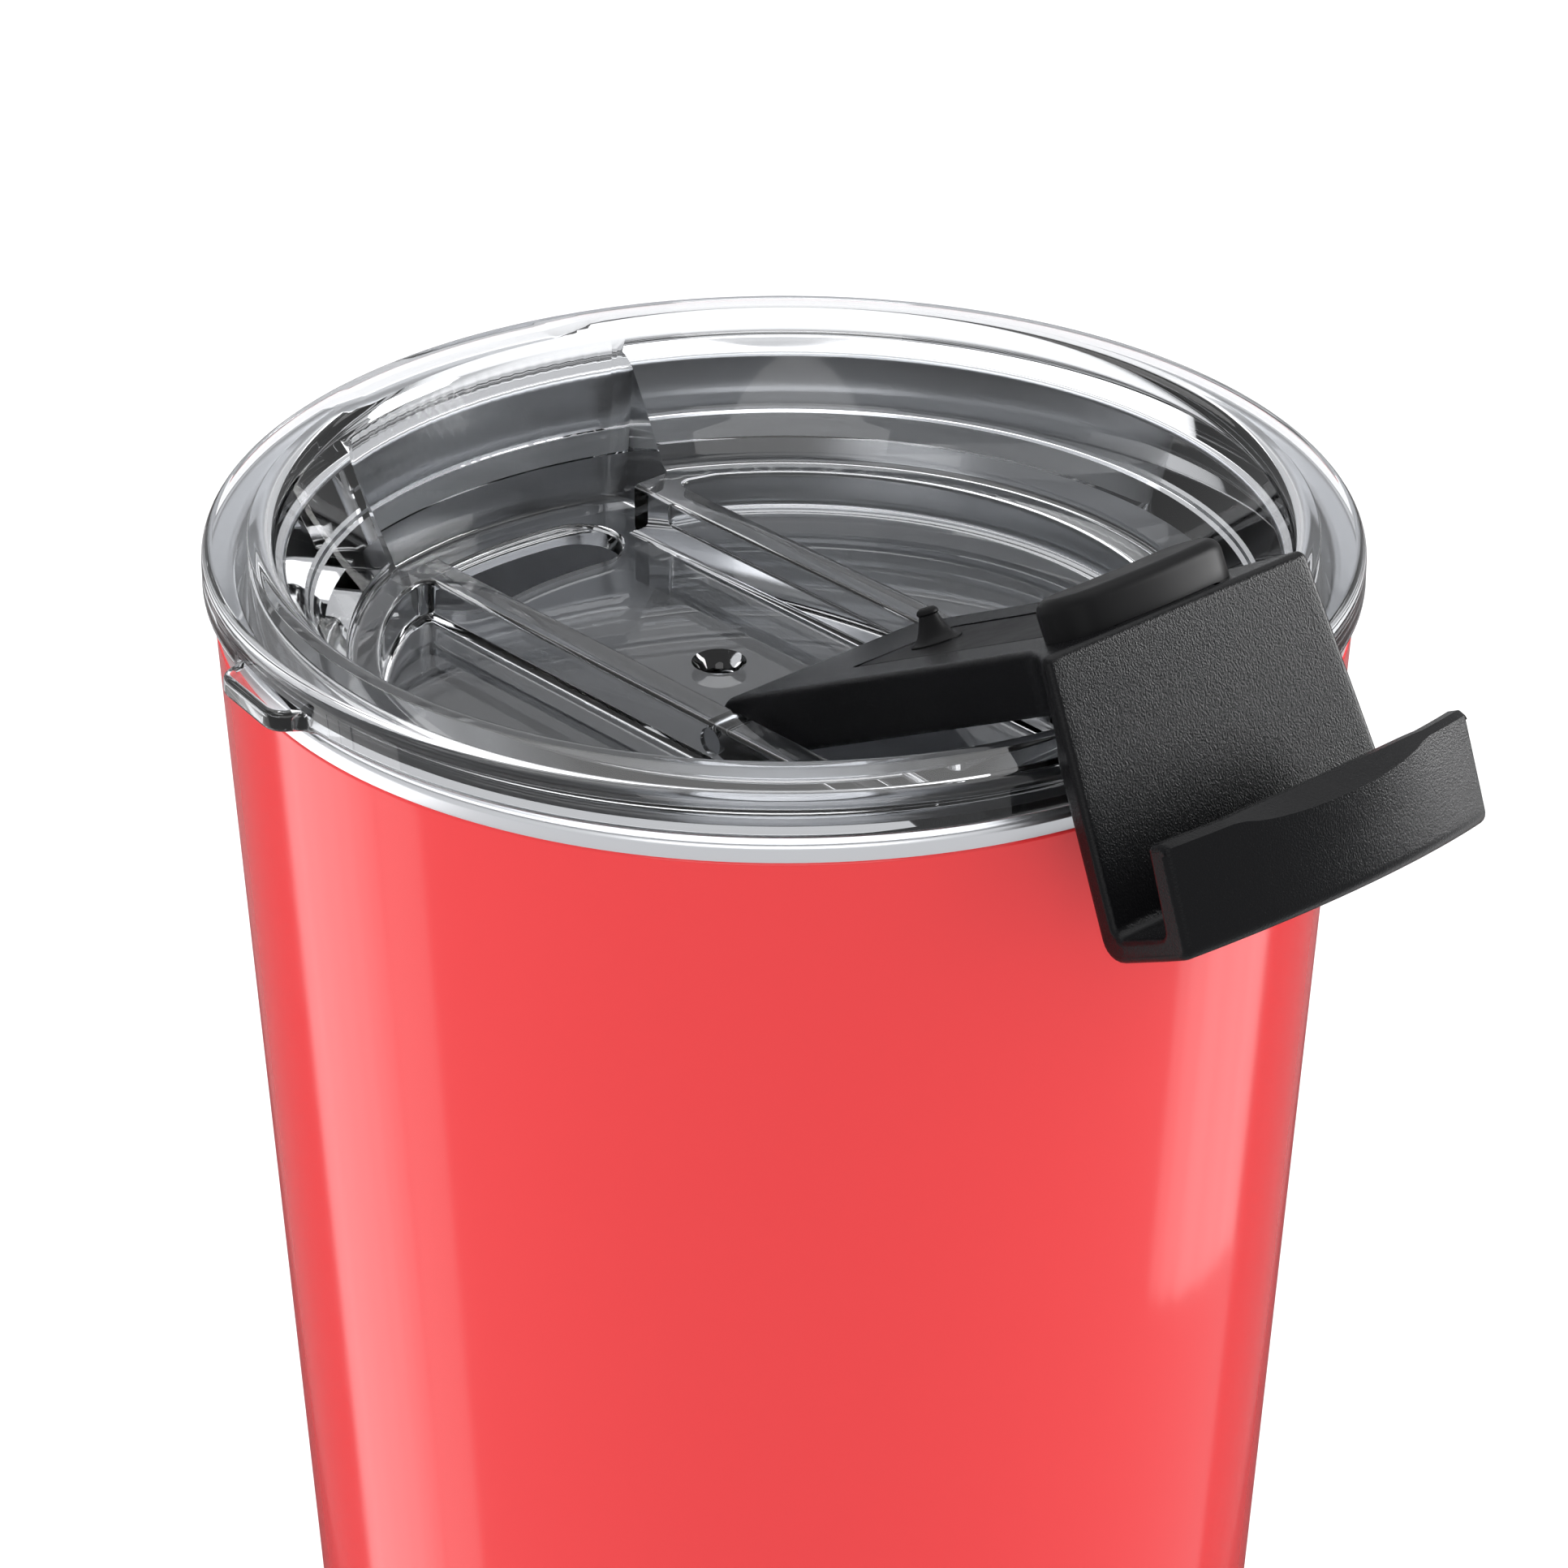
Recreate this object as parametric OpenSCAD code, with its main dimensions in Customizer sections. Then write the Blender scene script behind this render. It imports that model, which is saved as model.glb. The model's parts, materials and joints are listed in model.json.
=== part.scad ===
// Insulated tumbler with a clear press-in lid and a flip lever.
// Z is up, the resting face is at z = 0 and the drinking side is at -X.
// The lever is drawn closed in the channel and then turned open about its hinge.

/* [Vessel] */
// Height from the resting face to the top of the steel lip
vessel_h = 168; // [140:1:205]
// Outside diameter of the body under the lip
mouth_d = 92; // [84:0.5:112]
// Outside diameter of the body at the foot
foot_d = 72; // [60:0.5:88]
// Thickness of the steel sheet
sheet_t = 0.6; // [0.5:0.1:1]
// Radial width of the rolled steel lip
lip_w = 2.8; // [2.6:0.1:3.6]
// Height of the bare steel band under the lid
lip_band = 2; // [1.5:0.1:5]
// Vacuum space between the walls at the foot
vacuum_gap = 3.4; // [2.4:0.1:4.5]
// Height of the inside floor above the resting face
floor_h = 9; // [8:0.5:14]
// Corner radius inside the cup
floor_r = 6; // [4:0.5:9]
// Thickness of the heat shield foil
foil_t = 0.2; // [0.15:0.05:0.3]

/* [Foot] */
// Radius of the rounded outer edge of the foot
foot_round = 3; // [2:0.25:4]
// Width of the ring from the foot edge in to the base cap
foot_ring = 5; // [4.5:0.25:7]
// Diameter of the getter pellet
getter_d = 8; // [5:0.5:10]
// Height of the getter pellet
getter_h = 1.4; // [1:0.1:2]
// Diameter of the evacuation hole
evac_d = 2; // [1.5:0.1:3]

/* [Lid] */
// Height of the lid flange above the lip
flange_h = 3.8; // [3.2:0.1:5]
// How far the lid flange stands out past the steel lip
flange_over = 0.75; // [0.3:0.05:1.2]
// Rise of the lid crest above the rim plane
crest_rise = 0.5; // [0:0.1:1.5]
// Depth of the ledge and of the rail tops below the rim plane
ledge_depth = 10.8; // [9:0.1:14]
// Depth of the side pockets below the ledge
side_drop = 3.6; // [2.5:0.1:5]
// Depth of the channel floor below the rail tops
channel_drop = 4.6; // [4.2:0.1:6.4]
// Thickness of the channel floor
channel_floor_t = 1.8; // [1.4:0.1:2.6]
// Width of the ledge round the well
ledge_w = 2.4; // [1:0.1:4]
// Clear width of the channel between the rails
channel_w = 21.4; // [17:0.2:24]
// Thickness of each rail
rail_t = 3.1; // [2.4:0.1:4]
// Length of the drinking slot along its arc
slot_len = 19; // [14:0.5:23]
// Width of the drinking slot
slot_w = 7.6; // [6:0.1:9]
// Diameter of the vent hole
vent_d = 2.6; // [2.5:0.1:3.2]
// Width of the pull tab
tab_w = 10; // [6:0.5:14]
// How far the pull tab stands out from the flange
tab_out = 2.25; // [1.5:0.25:5]
// Thickness of the pull tab
tab_t = 1.8; // [1.2:0.1:2.6]
// Depth of the dip in the crest over the drinking slot
dip_depth = 0.4; // [0.2:0.1:1]
// Width of the dip in the crest
dip_w = 27.5; // [24:0.5:33]
// Height of the gasket
gasket_h = 2.4; // [1.8:0.1:3.2]

/* [Lever] */
// Least distance of the hinge from the lid axis
hinge_off = 6.3; // [4:0.1:8]
// Diameter of the hinge pins
pin_d = 2.2; // [1.8:0.1:2.4]
// Thickness of the lever arm
arm_t = 5.2; // [4.4:0.1:5.8]
// Wall of the end panel, bridge and lip
panel_t = 1.9; // [1.5:0.1:2.5]
// Height of the end panel from the sealing face
panel_h = 23.5; // [21:0.5:30]
// Width of the end panel at the sealing face
panel_w = 27.6; // [24:0.2:30]
// Width of the end panel at the bridge
panel_top_w = 31; // [26:0.2:33]
// Width of the outer lip
lip_width = 32.4; // [26:0.2:36]
// Height of the outer lip
lip_h = 9; // [6:0.5:10]
// Depth of the finger scoop in the lip edge
scoop_depth = 1.7; // [0:0.1:3]
// Angle that the lever turns from closed to open
open_angle = 153.5; // [90:0.5:154]
// Height of the drink pad
pad_h = 3.2; // [2.6:0.1:3.6]
// Height of the vent plug
plug_h = 2.8; // [2.4:0.1:3]
// Distance from the hinge to the vent plug
plug_x = 14.3; // [12:0.1:17]

/* [Fits] */
// Gap between the lid flange and the steel lip
seat_gap = 0.2; // [0.1:0.05:0.5]
// Gap between the lid plug and the steel wall
plug_clear = 1.1; // [0.9:0.1:1.6]
// Gap between the gasket lips and the steel wall
gasket_clear = 0.2; // [0.15:0.05:0.4]
// Gap between the lever arm and each rail
side_clear = 0.4; // [0.3:0.05:0.8]
// Gap between the sealing face and the channel floor
seal_clear = 0.2; // [0.15:0.05:0.4]
// Gap between the hinge pin and the bore in the rail
pin_clear = 0.08; // [0.03:0.01:0.1]
// Gap round the drink pad in its slot
pad_clear = 0.7; // [0.6:0.05:1]
// Gap between the free edge of the outer lip and the lid flange
lip_clear = 0.75; // [0.5:0.05:1.5]
// Gap between the end panel and its pocket in the well wall
panel_clear = 0.3; // [0.25:0.05:0.8]
// Least gap between the end panel of the open lever and the lid flange
rest_clear = 0.25; // [0.2:0.05:1]
// Gap on each side of the end panel in its pocket
pocket_gap = 0.6; // [0.4:0.05:1]

/* [Hidden] */
$fn = 96;

cut = 0.5;                  // how far a cutting solid runs past the face it cuts
arc_steps = 6;              // straight steps in each rounded corner of a profile

// Vessel radii and heights
mouth_r = mouth_d / 2;
foot_r = foot_d / 2;
shell_top = vessel_h - lip_band;
liner_mouth_r = mouth_r - lip_w;
liner_foot_r = foot_r - 2 * sheet_t - vacuum_gap;
liner_floor_r = liner_foot_r - floor_r;
cap_r = foot_r - foot_ring;
cap_gap = 0.2;
ring_z = 0.5;               // underside of the inward foot ring
base_z = ring_z + sheet_t;  // underside of the welded base
base_rise = 2;              // height of the raised middle of the base
dome_r = 10;                // radius of the raised middle of the base
getter_x = 18;              // distance of the getter from the axis
getter_wall = 0.4;
foil_off = 0.3;             // gap between the liner and the foil

// Lid radii, and heights from the resting face
seat_z = vessel_h + seat_gap;
rim_z = seat_z + flange_h;
ledge_z = rim_z - ledge_depth;
side_z = ledge_z - side_drop;
channel_z = ledge_z - channel_drop;
under_z = channel_z - channel_floor_t;
flange_r = mouth_r + flange_over;
flange_round = 1.1;         // round of the flange's top edge
crest_r = mouth_r - 3.6;
crest_round = 1.6;
wall_foot_r = mouth_r - 10.9;
pocket_r = wall_foot_r - ledge_w;
plug_r = liner_mouth_r - plug_clear;
plug_foot_r = plug_r - 0.6;
groove_depth = 0.9;
groove_r = plug_r - groove_depth;
groove_z = rim_z - flange_h - 6.6;
groove_clear = 0.1;
liner_slope = (liner_mouth_r - liner_foot_r) / (shell_top - floor_h);
gasket_lip_r = liner_mouth_r - liner_slope * (shell_top - groove_z) - gasket_clear;
panel_pocket_r = plug_r - 1.6;
rail_out = channel_w / 2 + rail_t;
tab_angle = -100;           // direction of the pull tab from the lid axis
tab_round = 2;
vent_sink = 1.3;            // depth of the countersink round the vent hole

// Lever, drawn closed
seal_z = channel_z + seal_clear;
hinge_z = seal_z + arm_t / 2;
arm_half = channel_w / 2 - side_clear;
bridge_z = seal_z + panel_h;
dip_z = rim_z + crest_rise - dip_depth;
panel_rim_half = panel_w / 2 + (panel_top_w - panel_w) / 2 * (rim_z - seal_z) / panel_h;
panel_x = sqrt(pow(panel_pocket_r - panel_clear, 2) - pow(panel_rim_half, 2));
rest_lean = 180 - open_angle;  // slope of the arm of the open lever
rest_x = ((flange_r - flange_round) * cos(rest_lean) + (rim_z - flange_round - hinge_z) * sin(rest_lean)
    + flange_round + rest_clear - panel_x + panel_t) / (1 + cos(rest_lean));
hinge_x = max(hinge_off, rest_x);
vent_x = hinge_x - plug_x;
shoulder_len = 6;           // length over which the arm widens to the panel
rail_end_x = panel_x - shoulder_len - 0.4;
lip_flare = 0.8;            // outward lean of the lip over its height
lip_in_r = flange_r + lip_clear - lip_flare;
lip_angle = asin(lip_width / 2 / (lip_in_r + panel_t));
fillet_r = 3;               // fillet between the arm and the panel
corner_r = 2;               // outer round between the panel and the bridge
pin_len = 6;
pin_end = 0.5;              // wall left outside the blind bore in each rail
pin_fit = 0.02;
slot_r = panel_x - slot_w / 2 - 0.4;
slot_half_angle = (slot_len - slot_w) / 2 / slot_r * 180 / PI;
pad_w = slot_w - 2 * pad_clear;
strip_t = 0.8;
strip_w = 10.4;
strip_x = plug_x - 4.2;     // start of the seal strip, from the hinge
strip_fit = 0.05;
plug_base_r = 2.1;
plug_tip_r = 0.6;

// Points along a circular arc, from angle a0 to angle a1
function arc(cx, cz, r, a0, a1) =
    [for (i = [0 : arc_steps]) let (a = a0 + (a1 - a0) * i / arc_steps) [cx + r * cos(a), cz + r * sin(a)]];

// Outside radius of the body at height z
function body_r(z) = foot_r + (mouth_r - foot_r) * z / vessel_h;

// Inside radius of the liner at height z
function liner_r(z) = liner_mouth_r - liner_slope * (shell_top - z);

// Ring of a profile turned about the Z axis
module turned(points) {
    rotate_extrude() polygon(points);
}

// Cylinder standing on height z0 up to z1
module post(r, z0, z1) {
    translate([0, 0, z0]) cylinder(r = r, h = z1 - z0);
}

// Profile in X and Z, extruded evenly to both sides of the XZ plane
module across(width, points) {
    translate([0, width / 2, 0]) rotate([90, 0, 0]) linear_extrude(width) polygon(points);
}

// Band along an arc round the Z axis, with round ends, centred on -X
module arc_band(r, w, half_angle, z0, z1) {
    rotate([0, 0, 180 - half_angle]) rotate_extrude(angle = 2 * half_angle)
        translate([r - w / 2, z0]) square([w, z1 - z0]);
    for (a = [-half_angle, half_angle])
        rotate([0, 0, 180 + a]) translate([r, 0, 0]) post(w / 2, z0, z1);
}

// Turns the closed lever and what it carries into the open position
module opened() {
    translate([hinge_x, 0, hinge_z]) rotate([0, open_angle, 0])
        translate([-hinge_x, 0, -hinge_z]) children();
}

// Painted outer wall with its rounded foot and inward ring
module outer_shell() {
    inner_round = foot_round - sheet_t;
    edge_r = body_r(foot_round) - foot_round;
    color("#EF4C50") turned(concat(
        [[cap_r, ring_z], [edge_r, ring_z]],
        arc(edge_r, foot_round + ring_z, foot_round, -90, 0),
        [[body_r(shell_top), shell_top], [body_r(shell_top) - sheet_t, shell_top]],
        arc(edge_r, foot_round + ring_z, inner_round, 0, -90),
        [[cap_r, base_z]]));
}

// Base welded inside the foot, with a raised middle and the evacuation hole
module outer_base() {
    rim_r = body_r(foot_round) - foot_round;
    top = base_z + base_rise;
    color("#B9BCC0") turned([
        [evac_d / 2, top], [dome_r, top], [dome_r + base_rise, base_z], [rim_r, base_z],
        [rim_r, base_z + sheet_t], [dome_r + base_rise + 0.3, base_z + sheet_t],
        [dome_r + 0.3, top + sheet_t], [evac_d / 2, top + sheet_t]]);
}

// Flat cap that the tumbler stands on, bonded under the base inside the foot ring
module base_cap() {
    color("#C4C7CA") post(cap_r - cap_gap, 0, base_z);
}

// Glass bead that closes the evacuation hole
module vacuum_seal() {
    top = base_z + base_rise;
    color("#5A6B62") union() {
        post(evac_d / 2, top, top + sheet_t);
        post(evac_d, top - 0.7, top);
    }
}

// Getter pellet that keeps the vacuum
module getter_pellet() {
    seat = base_z + sheet_t + getter_wall;
    color("#6E6E72") translate([getter_x, 0, 0]) post(getter_d / 2, seat, seat + getter_h);
}

// Spot-welded cup that holds the getter pellet
module getter_cup() {
    seat = base_z + sheet_t;
    r = getter_d / 2 + 0.1;
    color("#A9ACB0") translate([getter_x, 0, 0]) difference() {
        post(r + getter_wall, seat, seat + getter_wall + getter_h + 0.2);
        post(r, seat + getter_wall, seat + getter_wall + getter_h + cut);
    }
}

// Inner wall with its rolled lip and rounded bottom corner
module inner_liner() {
    lip_round = 1;
    bend_r = floor_r + sheet_t;
    corner_x = liner_r(floor_h + floor_r) - floor_r;
    corner_z = floor_h + floor_r;
    color("#C9CCD0") turned(concat(
        [[corner_x, floor_h - sheet_t]],
        arc(corner_x, corner_z, bend_r, -90, 0),
        [[liner_mouth_r + sheet_t, shell_top], [body_r(shell_top), shell_top]],
        arc(mouth_r - lip_round, vessel_h - lip_round, lip_round, 0, 90),
        arc(liner_mouth_r + lip_round, vessel_h - lip_round, lip_round, 90, 180),
        [[liner_mouth_r, shell_top]],
        arc(corner_x, corner_z, floor_r, 0, -90)));
}

// Bottom disc welded into the liner
module liner_base() {
    color("#C9CCD0") post(liner_r(floor_h + floor_r) - floor_r, floor_h - sheet_t, floor_h);
}

// Heat shield foil wrapped round the liner
module foil_wrap() {
    low = floor_h + floor_r + 4;
    high = shell_top - 14;
    off = sheet_t + foil_off;
    color("#C07A4A") turned([
        [liner_r(low) + off, low], [liner_r(low) + off + foil_t, low],
        [liner_r(high) + off + foil_t, high], [liner_r(high) + off, high]]);
}

// Heat shield foil under the liner
module foil_disc() {
    top = floor_h - sheet_t - foil_off;
    color("#C07A4A") post(liner_floor_r, top - foil_t, top);
}

// Turned section of the lid: plug, gasket groove, flange, crest and well wall
module lid_ring() {
    side_r = 0.8;
    plug_round = 1;
    turned(concat(
        [[0, under_z], [plug_foot_r - plug_round, under_z]],
        arc(plug_foot_r - plug_round, under_z + plug_round, plug_round, -90, 0),
        [[plug_r - 0.1, groove_z - gasket_h / 2], [groove_r, groove_z - gasket_h / 2],
         [groove_r, groove_z + gasket_h / 2], [plug_r, groove_z + gasket_h / 2],
         [plug_r, seat_z]],
        arc(flange_r - side_r, seat_z + side_r, side_r, -90, 0),
        arc(flange_r - flange_round, rim_z - flange_round, flange_round, 0, 90),
        [[crest_r + 0.6, rim_z + crest_rise], [crest_r, rim_z + crest_rise]],
        arc(crest_r, rim_z + crest_rise - crest_round, crest_round, 90, 170),
        [[wall_foot_r, ledge_z], [0, ledge_z]]));
}

// Pull tab that stands out from the flange
module pull_tab() {
    root = 3;               // how far the tab reaches back into the flange
    rotate([0, 0, tab_angle]) translate([flange_r - root, -tab_w / 2, seat_z]) {
        cube([root + tab_out - tab_round, tab_w, tab_t]);
        translate([0, tab_round, 0]) cube([root + tab_out, tab_w - 2 * tab_round, tab_t]);
        for (y = [tab_round, tab_w - tab_round])
            translate([root + tab_out - tab_round, y, 0]) cylinder(r = tab_round, h = tab_t);
    }
}

// Pocket to one side of the channel, bounded by the rail and the round wall
module side_pocket(side) {
    intersection() {
        post(pocket_r, side_z, ledge_z + cut);
        translate([-mouth_r, side > 0 ? rail_out : -rail_out - mouth_r, side_z])
            cube([mouth_r * 2, mouth_r, side_drop + cut]);
        translate([ledge_w - rail_end_x, -mouth_r, side_z])
            cube([mouth_r * 2, mouth_r * 2, side_drop + cut]);
    }
}

// Channel between the rails, and the wide end that takes the lever's shoulder and panel
module channel() {
    top = rim_z + crest_rise + cut;
    foot_half = panel_w / 2 + pocket_gap;
    top_half = foot_half + (panel_top_w - panel_w) / 2 * (top - channel_z) / panel_h;
    translate([-rail_end_x, -channel_w / 2, channel_z])
        cube([rail_end_x + sqrt(pow(pocket_r, 2) - pow(channel_w / 2, 2)), channel_w, channel_drop + cut]);
    intersection() {
        post(panel_pocket_r, channel_z, top);
        rotate([90, 0, 90]) translate([0, 0, -mouth_r]) linear_extrude(mouth_r - rail_end_x)
            polygon([[-foot_half, channel_z], [foot_half, channel_z], [top_half, top], [-top_half, top]]);
    }
}

// Clear lid: flange, well, rails, slot, vent and pull tab in one moulding
module lid_body() {
    color("#D8E2E8", 0.4) difference() {
        union() {
            lid_ring();
            pull_tab();
        }
        for (side = [-1, 1]) side_pocket(side);
        channel();
        translate([-flange_r - cut, -dip_w / 2, dip_z])
            cube([flange_r - wall_foot_r, dip_w, dip_depth + cut]);
        arc_band(slot_r, slot_w, slot_half_angle, under_z - cut, channel_z + cut);
        translate([vent_x, 0, 0]) {
            post(vent_d / 2, under_z - cut, channel_z + cut);
            translate([0, 0, channel_z - vent_sink])
                cylinder(r1 = vent_d / 2, r2 = plug_base_r + 0.2, h = vent_sink);
        }
        for (side = [-1, 1]) translate([hinge_x, 0, hinge_z]) rotate([90 * side, 0, 0])
            cylinder(d = pin_d + 2 * pin_clear, h = rail_out - pin_end);
    }
}

// Silicone gasket with two sealing lips
module lid_gasket() {
    low = groove_z - gasket_h / 2 + groove_clear;
    high = groove_z + gasket_h / 2 - groove_clear;
    inner = groove_r + groove_clear;
    step = (high - low) / 5;
    color("#E6E8E8") turned([
        [inner, low], [plug_r, low], [gasket_lip_r, low + step], [plug_r, low + 2 * step],
        [plug_r, low + 3 * step], [gasket_lip_r, low + 4 * step], [plug_r, high], [inner, high]]);
}

// Arm of the lever with its hinge barrel and the shoulders beside the panel
module lever_arm() {
    translate([0, 0, seal_z]) linear_extrude(arm_t) polygon([
        [hinge_x, -arm_half], [-panel_x + shoulder_len, -arm_half], [-panel_x, -panel_w / 2],
        [-panel_x, panel_w / 2], [-panel_x + shoulder_len, arm_half], [hinge_x, arm_half]]);
    translate([hinge_x, arm_half, hinge_z]) rotate([90, 0, 0])
        cylinder(d = arm_t, h = 2 * arm_half);
}

// End panel and the bridge over the rim, cut to their tapered outline
module lever_panel() {
    in_x = -panel_x + panel_t;
    out_x = -lip_in_r - panel_t;
    root_z = seal_z + arm_t + fillet_r;
    intersection() {
        across(lip_width + 2 * panel_t, concat(
            [[-panel_x, seal_z], [in_x + fillet_r, seal_z], [in_x + fillet_r, root_z - fillet_r]],
            arc(in_x + fillet_r, root_z, fillet_r, 270, 180),
            arc(in_x - corner_r, bridge_z - corner_r, corner_r, 0, 90),
            [[out_x, bridge_z], [out_x, bridge_z - panel_t], [-panel_x, bridge_z - panel_t]]));
        union() {
            rotate([90, 0, 90]) translate([0, 0, -panel_x]) linear_extrude(panel_t + fillet_r + cut)
                polygon([
                    [-panel_w / 2, seal_z], [panel_w / 2, seal_z],
                    [panel_top_w / 2, bridge_z], [-panel_top_w / 2, bridge_z]]);
            translate([0, 0, bridge_z - panel_t]) linear_extrude(panel_t) polygon([
                [in_x + cut, -panel_top_w / 2], [-panel_x, -panel_top_w / 2], [out_x, -lip_width / 2],
                [out_x, lip_width / 2], [-panel_x, panel_top_w / 2], [in_x + cut, panel_top_w / 2]]);
        }
        post(lip_in_r + panel_t, seal_z, bridge_z);
    }
}

// Curved outer lip that follows the rim, with a finger scoop in its free edge
module lever_lip() {
    low = bridge_z - lip_h;
    scoop_r = 90;
    difference() {
        rotate([0, 0, 180 - lip_angle]) rotate_extrude(angle = 2 * lip_angle) polygon([
            [lip_in_r, bridge_z], [lip_in_r + lip_flare, low],
            [lip_in_r + panel_t + lip_flare, low], [lip_in_r + panel_t, bridge_z]]);
        translate([-lip_in_r - lip_flare, 0, low]) rotate([0, -atan2(panel_t, scoop_depth), 0])
            translate([-scoop_r, 0, -panel_t]) cylinder(r = scoop_r, h = lip_h);
    }
}

// Black lever: arm, panel, bridge and lip
module flip_lever() {
    color("#1E1F21") opened() difference() {
        union() {
            lever_arm();
            lever_panel();
            lever_lip();
        }
        strip_space(strip_fit);
        for (side = [-1, 1]) translate([hinge_x, side * (arm_half + cut), hinge_z])
            rotate([90 * side, 0, 0]) cylinder(d = pin_d + pin_fit, h = pin_len + cut);
    }
}

// Outline of the seal strip set into the sealing face, grown by gap
module strip_space(gap) {
    x0 = hinge_x - strip_x + gap;
    x1 = -panel_x + 0.8 - gap;
    translate([0, 0, seal_z - (gap > 0 ? cut : 0)]) linear_extrude(strip_t + (gap > 0 ? cut : 0) + gap)
        polygon([
            [x0, -strip_w / 2 - gap], [x0, strip_w / 2 + gap],
            [x1, strip_w / 2 + gap], [x1, -strip_w / 2 - gap]]);
}

// Soft strip set flush in the sealing face
module seal_strip() {
    color("#232426") opened() strip_space(0);
}

// Pad that closes the drinking slot
module drink_pad() {
    color("#2B2C2E") opened()
        arc_band(slot_r, pad_w, slot_half_angle, seal_z - pad_h, seal_z);
}

// Pointed plug that closes the vent hole
module vent_plug() {
    color("#2B2C2E") opened() translate([vent_x, 0, seal_z]) turned([
        [0, 0], [plug_base_r, 0], [1.5, -0.5], [1, -1.2], [plug_tip_r, -plug_h], [0, -plug_h]]);
}

// Two steel hinge pins pressed into the ends of the barrel
module hinge_pins() {
    color("#B4B7BB") for (side = [-1, 1])
        translate([hinge_x, side * (rail_out - pin_end - 0.2), hinge_z]) rotate([90 * side, 0, 0])
            cylinder(d = pin_d, h = rail_out - pin_end - 0.2 - arm_half + pin_len - 0.2);
}

outer_shell();
outer_base();
base_cap();
vacuum_seal();
getter_pellet();
getter_cup();
inner_liner();
liner_base();
foil_wrap();
foil_disc();
lid_body();
lid_gasket();
flip_lever();
seal_strip();
drink_pad();
vent_plug();
hinge_pins();
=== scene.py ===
import json
import logging
import math
from dataclasses import dataclass, field
from enum import Enum
from typing import Sequence

import bmesh
import bpy
from mathutils import Matrix, Vector

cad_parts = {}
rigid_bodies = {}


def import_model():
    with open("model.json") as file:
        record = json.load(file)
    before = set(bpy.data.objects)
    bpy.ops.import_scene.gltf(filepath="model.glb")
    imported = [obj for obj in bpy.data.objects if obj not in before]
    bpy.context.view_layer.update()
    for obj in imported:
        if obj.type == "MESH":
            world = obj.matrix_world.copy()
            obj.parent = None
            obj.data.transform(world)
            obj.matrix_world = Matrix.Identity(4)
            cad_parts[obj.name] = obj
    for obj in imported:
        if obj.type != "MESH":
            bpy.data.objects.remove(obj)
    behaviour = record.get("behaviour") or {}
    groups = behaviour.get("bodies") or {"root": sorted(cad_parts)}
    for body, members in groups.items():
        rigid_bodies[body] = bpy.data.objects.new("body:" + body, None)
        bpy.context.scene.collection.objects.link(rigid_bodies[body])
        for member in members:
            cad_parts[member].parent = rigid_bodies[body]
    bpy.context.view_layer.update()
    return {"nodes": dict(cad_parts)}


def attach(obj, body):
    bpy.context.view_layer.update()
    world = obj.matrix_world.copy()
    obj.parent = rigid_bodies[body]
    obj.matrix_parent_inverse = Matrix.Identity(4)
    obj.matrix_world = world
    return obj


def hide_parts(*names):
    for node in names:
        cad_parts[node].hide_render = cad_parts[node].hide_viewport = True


LOG = logging.getLogger("tumbler")
MM = 0.001
EDGE_STEPS = 5  # straight steps in a prism's rounded or flared edge
FLARE_SWEEP = 72.0  # degrees that a flare turns through before it runs out straight
FLARE_RISE = 0.2  # least height, in millimetres, of the straight part above a flare
FLARE_SPREAD = 0.9  # how far that part leans out
MITRE_LIMIT = 0.35  # least cosine in a mitre, so that a sharp corner doesn't shoot out

Point2 = tuple[float, float]
Point3 = tuple[float, float, float]
Colour = tuple[float, float, float, float]


# ---------------------------------------------------------------- outlines

def arc(cx: float, cz: float, r: float, a0: float, a1: float, steps: int = 8) -> list[Point2]:
    """Points along a circular arc.

    Args:
        cx: centre along the first axis.
        cz: centre along the second axis.
        r: radius.
        a0: first angle in degrees.
        a1: last angle in degrees.
        steps: number of straight steps.

    Returns:
        The steps + 1 points, both ends included.
    """
    angles = [math.radians(a0 + (a1 - a0) * i / steps) for i in range(steps + 1)]
    return [(cx + r * math.cos(a), cz + r * math.sin(a)) for a in angles]


def between(a: Point2, b: Point2, steps: int) -> list[Point2]:
    """Evenly spaced points between two others, without the ends.

    Args:
        a: the point before the first one.
        b: the point after the last one.
        steps: number of equal steps from a to b.

    Returns:
        The steps - 1 points.
    """
    shares = [k / steps for k in range(1, steps)]
    return [(a[0] + (b[0] - a[0]) * t, a[1] + (b[1] - a[1]) * t) for t in shares]


def rounded(corners: Sequence[Point2], radii: Sequence[float], steps: int = 5) -> list[Point2]:
    """A closed outline with each corner rounded.

    Args:
        corners: the outline's corners, in order.
        radii: the radius at each corner, 0 for a plain corner.
        steps: straight steps in each rounded corner.

    Returns:
        The outline's points, in the same order.
    """
    made: list[Point2] = []
    count = len(corners)
    for i, (corner, radius) in enumerate(zip(corners, radii)):
        here = Vector(corner)
        if radius <= 0:
            made.append(tuple(here))
            continue
        back = (Vector(corners[i - 1]) - here).normalized()
        ahead = (Vector(corners[(i + 1) % count]) - here).normalized()
        half = back.angle(ahead) / 2
        reach = radius / math.tan(half)
        centre = here + (back + ahead).normalized() * (radius / math.sin(half))
        start, stop = here + back * reach - centre, here + ahead * reach - centre
        turn = start.angle_signed(stop)
        for k in range(steps + 1):
            spot = centre + Matrix.Rotation(-turn * k / steps, 2) @ start
            made.append(tuple(spot))
    return made


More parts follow.
